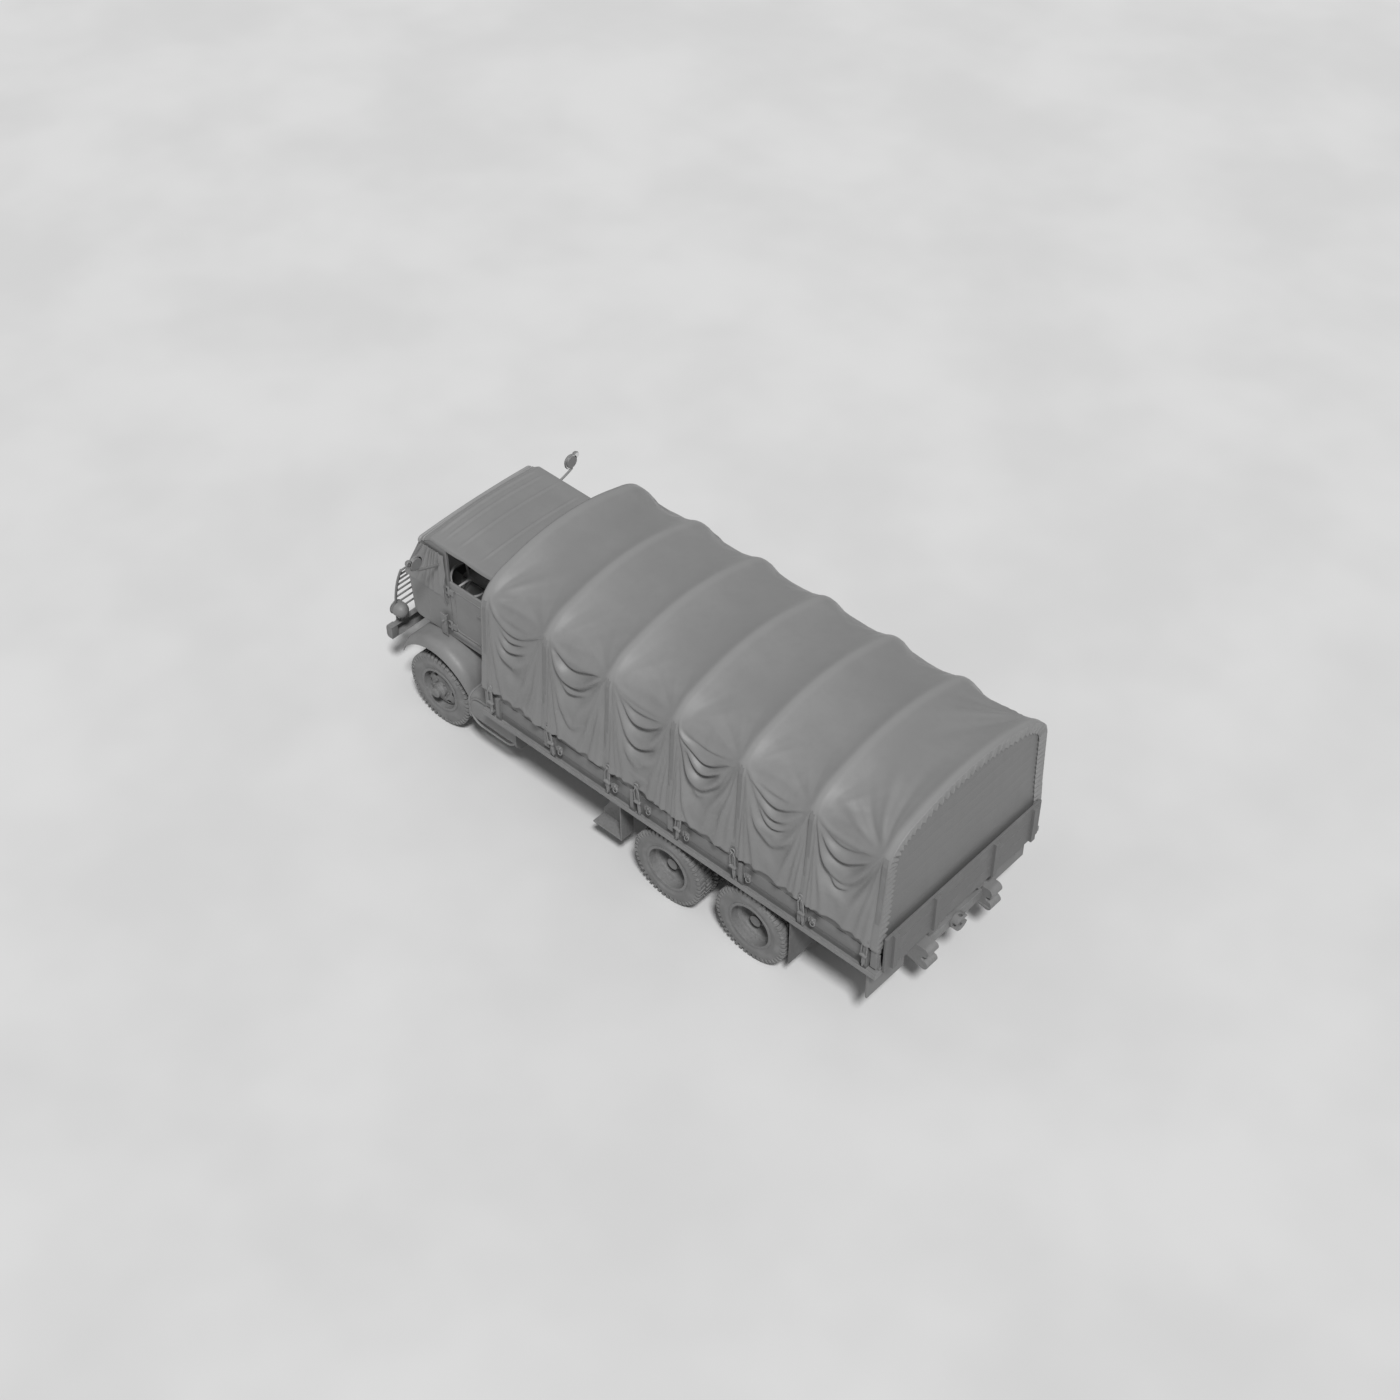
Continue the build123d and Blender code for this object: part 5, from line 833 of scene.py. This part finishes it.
# Windscreen: tube rails round the frame, and wipers
SCREEN_FOOT, SCREEN_HEAD, SCREEN_Y = (3.358, 1.690), (3.030, 2.318), 0.752
SCREEN_OUT = Vector((SCREEN_HEAD[1] - SCREEN_FOOT[1], 0, SCREEN_FOOT[0] - SCREEN_HEAD[0])).normalized()


def on_screen(share, y, out):
    """Point at a share of the windscreen's height, out from its middle plane."""
    x, z = np.array(SCREEN_FOOT) + np.subtract(SCREEN_HEAD, SCREEN_FOOT) * share
    return Vector((x, y, z)) + SCREEN_OUT * out


# Header board that closes the crescent between the windscreen's frame and the roof's arch
HEADER_X, HEADER_FOOT_Z, HEADER_THICK = 3.018, 2.312, 0.013
RAIL_OUT, RAIL_RADIUS, RAIL_INSETS, WIPER_YS = 0.019, 0.011, (0.0, 0.045), (0.36, -0.36)

rails = Shape()
header_edge = [(HEADER_X, y, z - 0.004) for y, z in roof_arch(HEADER_X, ROOF_SKIRT) if z > HEADER_FOOT_Z + 0.02]
rails.slab([*header_edge, (HEADER_X, header_edge[-1][1], HEADER_FOOT_Z), (HEADER_X, header_edge[0][1], HEADER_FOOT_Z)],
           (HEADER_THICK, 0, 0))
for inset in RAIL_INSETS:
    y, lower = SCREEN_Y - inset, inset / 0.7
    route = [on_screen(share, y - away, RAIL_OUT) for share, away in
             ((0.03, 0), (0.5, 0), (0.88 - lower, 0), (0.96 - lower, 0.05), (0.97 - lower, 0.12))]
    route += [Vector((p.x, -p.y, p.z)) for p in route[::-1]]
    rails.tube(smooth_path([tuple(p) for p in route], 6), RAIL_RADIUS, 8, up=tuple(SCREEN_OUT))
for y in WIPER_YS:
    rails.lathe(((0.018, 0.0), (0.018, 0.02), (0.01, 0.026)), on_screen(0.94, y, 0.012), SCREEN_OUT, 12)
    rails.tube([on_screen(0.94, y, 0.03), on_screen(0.62, y - 0.03, 0.026)], 0.005, 6, up=(0, 1, 0))
    rails.tube([on_screen(0.72, y + 0.01, 0.022), on_screen(0.36, y - 0.05, 0.022)], 0.006, 6, up=(0, 1, 0))
rails.piece("windscreen_rails", paint)

# Quarter curtains: gathered canvas between the door post and the windscreen
QUARTER_REAR_X, QUARTER_FOOT_Z, QUARTER_TOP_Z, QUARTER_Y = 2.668, 1.70, 2.315, 0.806
GATHERS, GATHER_DEPTH = 6.5, 0.027


def quarter_curtain(side):
    share, up = np.meshgrid(np.linspace(0, 1, 90), np.linspace(0, 1, 40))
    z = QUARTER_FOOT_Z + (QUARTER_TOP_Z - QUARTER_FOOT_Z) * up
    (foot_x, foot_z), (head_x, head_z) = SCREEN_FOOT, SCREEN_HEAD
    front = foot_x + (head_x - foot_x) * (z - foot_z) / (head_z - foot_z)
    x = QUARTER_REAR_X + (front - 0.035 - QUARTER_REAR_X) * share
    drift = 0.5 * ripple(share * 3, up * 1.2, 61 if side == LEFT else 62, low=1, high=4)
    gather = np.abs(np.sin(pi * (GATHERS * share + drift))) ** 0.6
    loose = 0.35 + 0.65 * smoothstep(up, 0.0, 0.25) * (1 - 0.4 * smoothstep(up, 0.85, 1.0))
    y = QUARTER_Y + GATHER_DEPTH * gather * loose
    return np.stack([x, side * y, z], -1), np.stack([x * 1.25, z], -1)


for side_name, side in SIDES.items():
    curtain = add_sheet(f"quarter_curtain_{side_name}", quarter_curtain(side), roof_canvas, flip=side == LEFT)

# Cab fittings: door beads and handles, fender stays with the grab handles, mirrors
DOOR_FACE_Y, HANDLE_X, HANDLE_Z = 0.800, 2.075, 1.80
DOOR_BEAD = (2.035, 2.565, 1.315, 1.875)
DOOR_STRIP = (1.99, 2.61), (0.797, 0.816), (1.252, 1.29)
STAY_PLATE, STAY_WEB = ((2.674, 2.764), (0.838, 0.848), (1.20, 1.485)), ((2.70, 2.715), (0.798, 0.84), (1.235, 1.46))
STAY_PIN, STAY_ROD = ((2.72, 0.80, 1.40), (2.72, 0.875, 1.40)), ((2.69, 0.852, 1.25), (2.69, 0.852, 1.44))
MIRROR_X, MIRROR_FACE_X = 2.733, 2.7205
# Round glasses of a mirror: distance from the truck's middle, height, radius of shell and glass
MIRROR_GLASSES = ((1.14, 2.380, 0.092, 0.083), (1.222, 2.425, 0.040, 0.035))
MIRROR_ARM = ((2.75, 0.808, 2.14), (2.735, 0.98, 2.215), (2.722, 1.125, 2.285), (2.730, 1.14, 2.33))
GRAB_HANDLE = ((2.685, 0.812, 1.62), (2.69, 0.835, 1.72), (2.687, 0.838, 1.90), (2.685, 0.812, 2.0))


def rounded_frame(x0, x1, z0, z1, y, radius, steps=6):
    """Closed path round an upright rectangle with round corners."""
    path = []
    for cx, cz, start in ((x1 - radius, z1 - radius, 0), (x0 + radius, z1 - radius, 1), (x0 + radius, z0 + radius, 2),
                          (x1 - radius, z0 + radius, 3)):
        for i in range(steps + 1):
            angle = (start + i / steps) * pi / 2
            path.append((cx + radius * cos(angle), y, cz + radius * sin(angle)))
    return path


def mirrored(side, path):
    """Path of the left side, put on either side of the truck."""
    return [(x, side * y, z) for x, y, z in path]


for side_name, side in SIDES.items():
    door = Shape()
    door.tube(rounded_frame(*DOOR_BEAD, side * DOOR_FACE_Y, 0.05), 0.008, 6, True, (0, 1, 0))
    door.lathe(((0.024, 0.0), (0.024, 0.008), (0.013, 0.014), (0.013, 0.034)), (HANDLE_X, side * DOOR_FACE_Y, HANDLE_Z),
               (0, side, 0), 14)
    door.tube(mirrored(side, ((HANDLE_X, 0.832, HANDLE_Z), (2.13, 0.835, 1.79), (2.19, 0.832, 1.772))),
              [0.011, 0.009, 0.007], 8)
    door.side_block(side, *DOOR_STRIP)
    door.piece(f"door_fittings_{side_name}", paint, f"door_{side_name}")

    stay = Shape().side_block(side, *STAY_PLATE).side_block(side, *STAY_WEB)
    stay.tube(mirrored(side, STAY_PIN), 0.014, 10, up=(0, 0, 1))
    stay.tube(mirrored(side, STAY_ROD), 0.008, 8, up=(0, 1, 0))
    stay.tube(mirrored(side, GRAB_HANDLE), 0.009, 8, up=(1, 0, 0))
    stay.piece(f"fender_stay_{side_name}", paint)

    shell, faces = Shape(), Shape()
    for y, z, radius, glass_radius in MIRROR_GLASSES:
        shell.lathe(((radius * 0.93, -0.012), (radius, -0.004), (radius, 0.004), (radius * 0.85, 0.022),
                     (radius * 0.5, 0.036), (radius * 0.15, 0.040)), (MIRROR_X, side * y, z), (1, 0, 0), 28)
        faces.lathe(((glass_radius, 0.0), (glass_radius, 0.003)), (MIRROR_FACE_X, side * y, z), (-1, 0, 0), 28)
    shell.tube(smooth_path(mirrored(side, MIRROR_ARM), 6), 0.014, 10, up=(1, 0, 0))
    shell.lathe(((0.026, 0.0), (0.026, 0.016), (0.018, 0.024)), (2.75, side * 0.80, 2.14), (0, side, 0), 14)
    shell.piece(f"mirror_shell_{side_name}", paint)
    faces.piece(f"mirror_face_{side_name}", mirror)

# Front: closed bumper ends, lamp rims and lenses; tank beads
LAMP_Y, LAMP_Z = 0.750, 0.974
BUMPER_END = (3.603, 3.687), (0.79, 0.883), (0.603, 0.757)
TANK_FACE_Y, TANK_BEAD = 1.098, (1.425, 2.115, 0.505, 0.885)
front_ends, lamp_rims, lenses, beads = (Shape() for _ in range(4))
for side in SIDES.values():
    front_ends.side_block(side, *BUMPER_END)
    lamp_rims.tube(ring_path((3.645, side * LAMP_Y, LAMP_Z), 0.083, (1, 0, 0), 32), 0.007, 8, True, (1, 0, 0))
    lenses.lathe(((0.080, -0.004), (0.078, 0.002), (0.062, 0.012), (0.036, 0.019), (0.010, 0.021)),
                 (3.644, side * LAMP_Y, LAMP_Z), (1, 0, 0), 32)
    beads.tube(rounded_frame(*TANK_BEAD, side * TANK_FACE_Y, 0.165, 10), 0.014, 8, True, (0, 1, 0))
front_ends.piece("bumper_ends", paint, bevel=0.006)
lamp_rims.piece("lamp_rims", hook_steel, slot="lamp")
lenses.piece("lamp_lenses", lens, slot="lamp")
beads.piece("tank_beads", paint)

# Seats: canvas cushions, crowned by their stuffing and puckered at their seams
SEAT_Y, SEAT_WIDTH = 0.555, 0.400
# Low and high corner seen from the side, and the axis of the crowned faces
SEAT_PADS = {"seat_cushions": ((1.958, 1.510), (2.378, 1.620), "Z"),
             "seat_backs": ((1.918, 1.645), (2.028, 2.075), "X")}


def padded_mesh(name, boxes, face):
    """Pads in boxes: round edges, crowned faces, a pucker along each side."""
    mesh = bpy.data.meshes.new(name)
    work = bmesh.new()
    crown = "XYZ".index(face)
    u, v = (axis for axis in range(3) if axis != crown)
    for low, high in boxes:
        middle, half = (Vector(low) + Vector(high)) / 2, (Vector(high) - Vector(low)) / 2
        cube = bmesh.new()
        bmesh.ops.create_cube(cube, size=2.0)
        bmesh.ops.subdivide_edges(cube, edges=cube.edges[:], cuts=15, use_grid_fill=True)
        for vert in cube.verts:
            p = np.array(vert.co)
            q = p * p
            one, two = np.roll(q, 1), np.roll(q, 2)
            ball = p * np.sqrt(np.maximum(1 - (one + two) / 2 + one * two / 3, 0))
            soft = 0.62 * p + 0.38 * ball
            soft[crown] += 0.16 * (1 - q[u]) * (1 - q[v]) * p[crown]
            soft[[u, v]] *= 1 + 0.02 * sin(26 * p[u]) * sin(24 * p[v]) * (1 - abs(p[crown]))
            vert.co = middle + Vector(soft * np.array(half))
        cube.to_mesh(mesh)
        cube.free()
        work.from_mesh(mesh)
    bmesh.ops.recalc_face_normals(work, faces=work.faces)
    cloth = work.loops.layers.uv.new("cloth")
    for polygon in work.faces:
        flat = max(range(3), key=lambda axis: abs(polygon.normal[axis]))
        for corner in polygon.loops:
            corner[cloth].uv = [corner.vert.co[axis] for axis in range(3) if axis != flat]
    work.to_mesh(mesh)
    work.free()
    return mesh


for node, ((x0, z0), (x1, z1), face) in SEAT_PADS.items():
    boxes = [((x0, side * SEAT_Y - SEAT_WIDTH / 2, z0), (x1, side * SEAT_Y + SEAT_WIDTH / 2, z1))
             for side in SIDES.values()]
    pads = add_piece(f"{node}_pads", padded_mesh(node, boxes, face), seat_canvas)
    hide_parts(node)

# Studio: pale floor, soft light from above, behind and the left, camera at the photo's angle
CAMERA_AT = (-11.45285, 12.34029, 17.80137)
CAMERA_AZIMUTH, CAMERA_DOWN = radians(-47.645), radians(44.274)
CAMERA_LENS, SENSOR_WIDTH = 58.74, 36.0
FLOOR_REACH, SKY_STRENGTH = 40.0, 0.3
KEY_TOWARDS, KEY_STRENGTH, KEY_SPREAD = (0.5, -0.42, -1.0), 2.6, 9


def aimed(name, data, towards):
    """Links a light or camera that looks along a direction."""
    holder = bpy.data.objects.new(name, data)
    holder.rotation_euler = Vector(towards).to_track_quat("-Z", "Y").to_euler()
    link(holder)
    return holder


pale = Finish("studio_floor")
cloud = pale.noise(0.35, 3.0).between(0.3, 0.7)
floor_mesh = bpy.data.meshes.new("studio_floor")
floor_corners = [(x * FLOOR_REACH, y * FLOOR_REACH, 0) for x, y in ((-1, -1), (1, -1), (1, 1), (-1, 1))]
floor_mesh.from_pydata(floor_corners, [], [(0, 1, 2, 3)])
floor_mesh.materials.append(pale.surface(pale.layers(0.66, (cloud, 0.72)), 0.85, specular_ior_level=0.2))
studio_floor = bpy.data.objects.new("studio_floor", floor_mesh)
link(studio_floor)
studio_floor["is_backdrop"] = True

world = bpy.data.worlds.new("studio")
world.use_nodes = True
sky = world.node_tree.nodes["Background"].inputs
sky["Color"].default_value = grey(1.0)
sky["Strength"].default_value = SKY_STRENGTH
scene.world = world

sun = bpy.data.lights.new("key_light", "SUN")
sun.energy, sun.angle = KEY_STRENGTH, radians(KEY_SPREAD)
aimed("key_light", sun, KEY_TOWARDS)

camera_data = bpy.data.cameras.new("photo_view")
camera_data.lens, camera_data.sensor_width = CAMERA_LENS, SENSOR_WIDTH
camera = aimed("photo_view", camera_data, (cos(CAMERA_DOWN) * cos(CAMERA_AZIMUTH),
                                           cos(CAMERA_DOWN) * sin(CAMERA_AZIMUTH), -sin(CAMERA_DOWN)))
camera.location = CAMERA_AT
scene.camera = camera
scene.view_settings.view_transform = "Standard"

boxes = {"cad": [list(map(float, corner)) for corner in cad_box],
         "visual": [list(map(float, corner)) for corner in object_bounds()]}
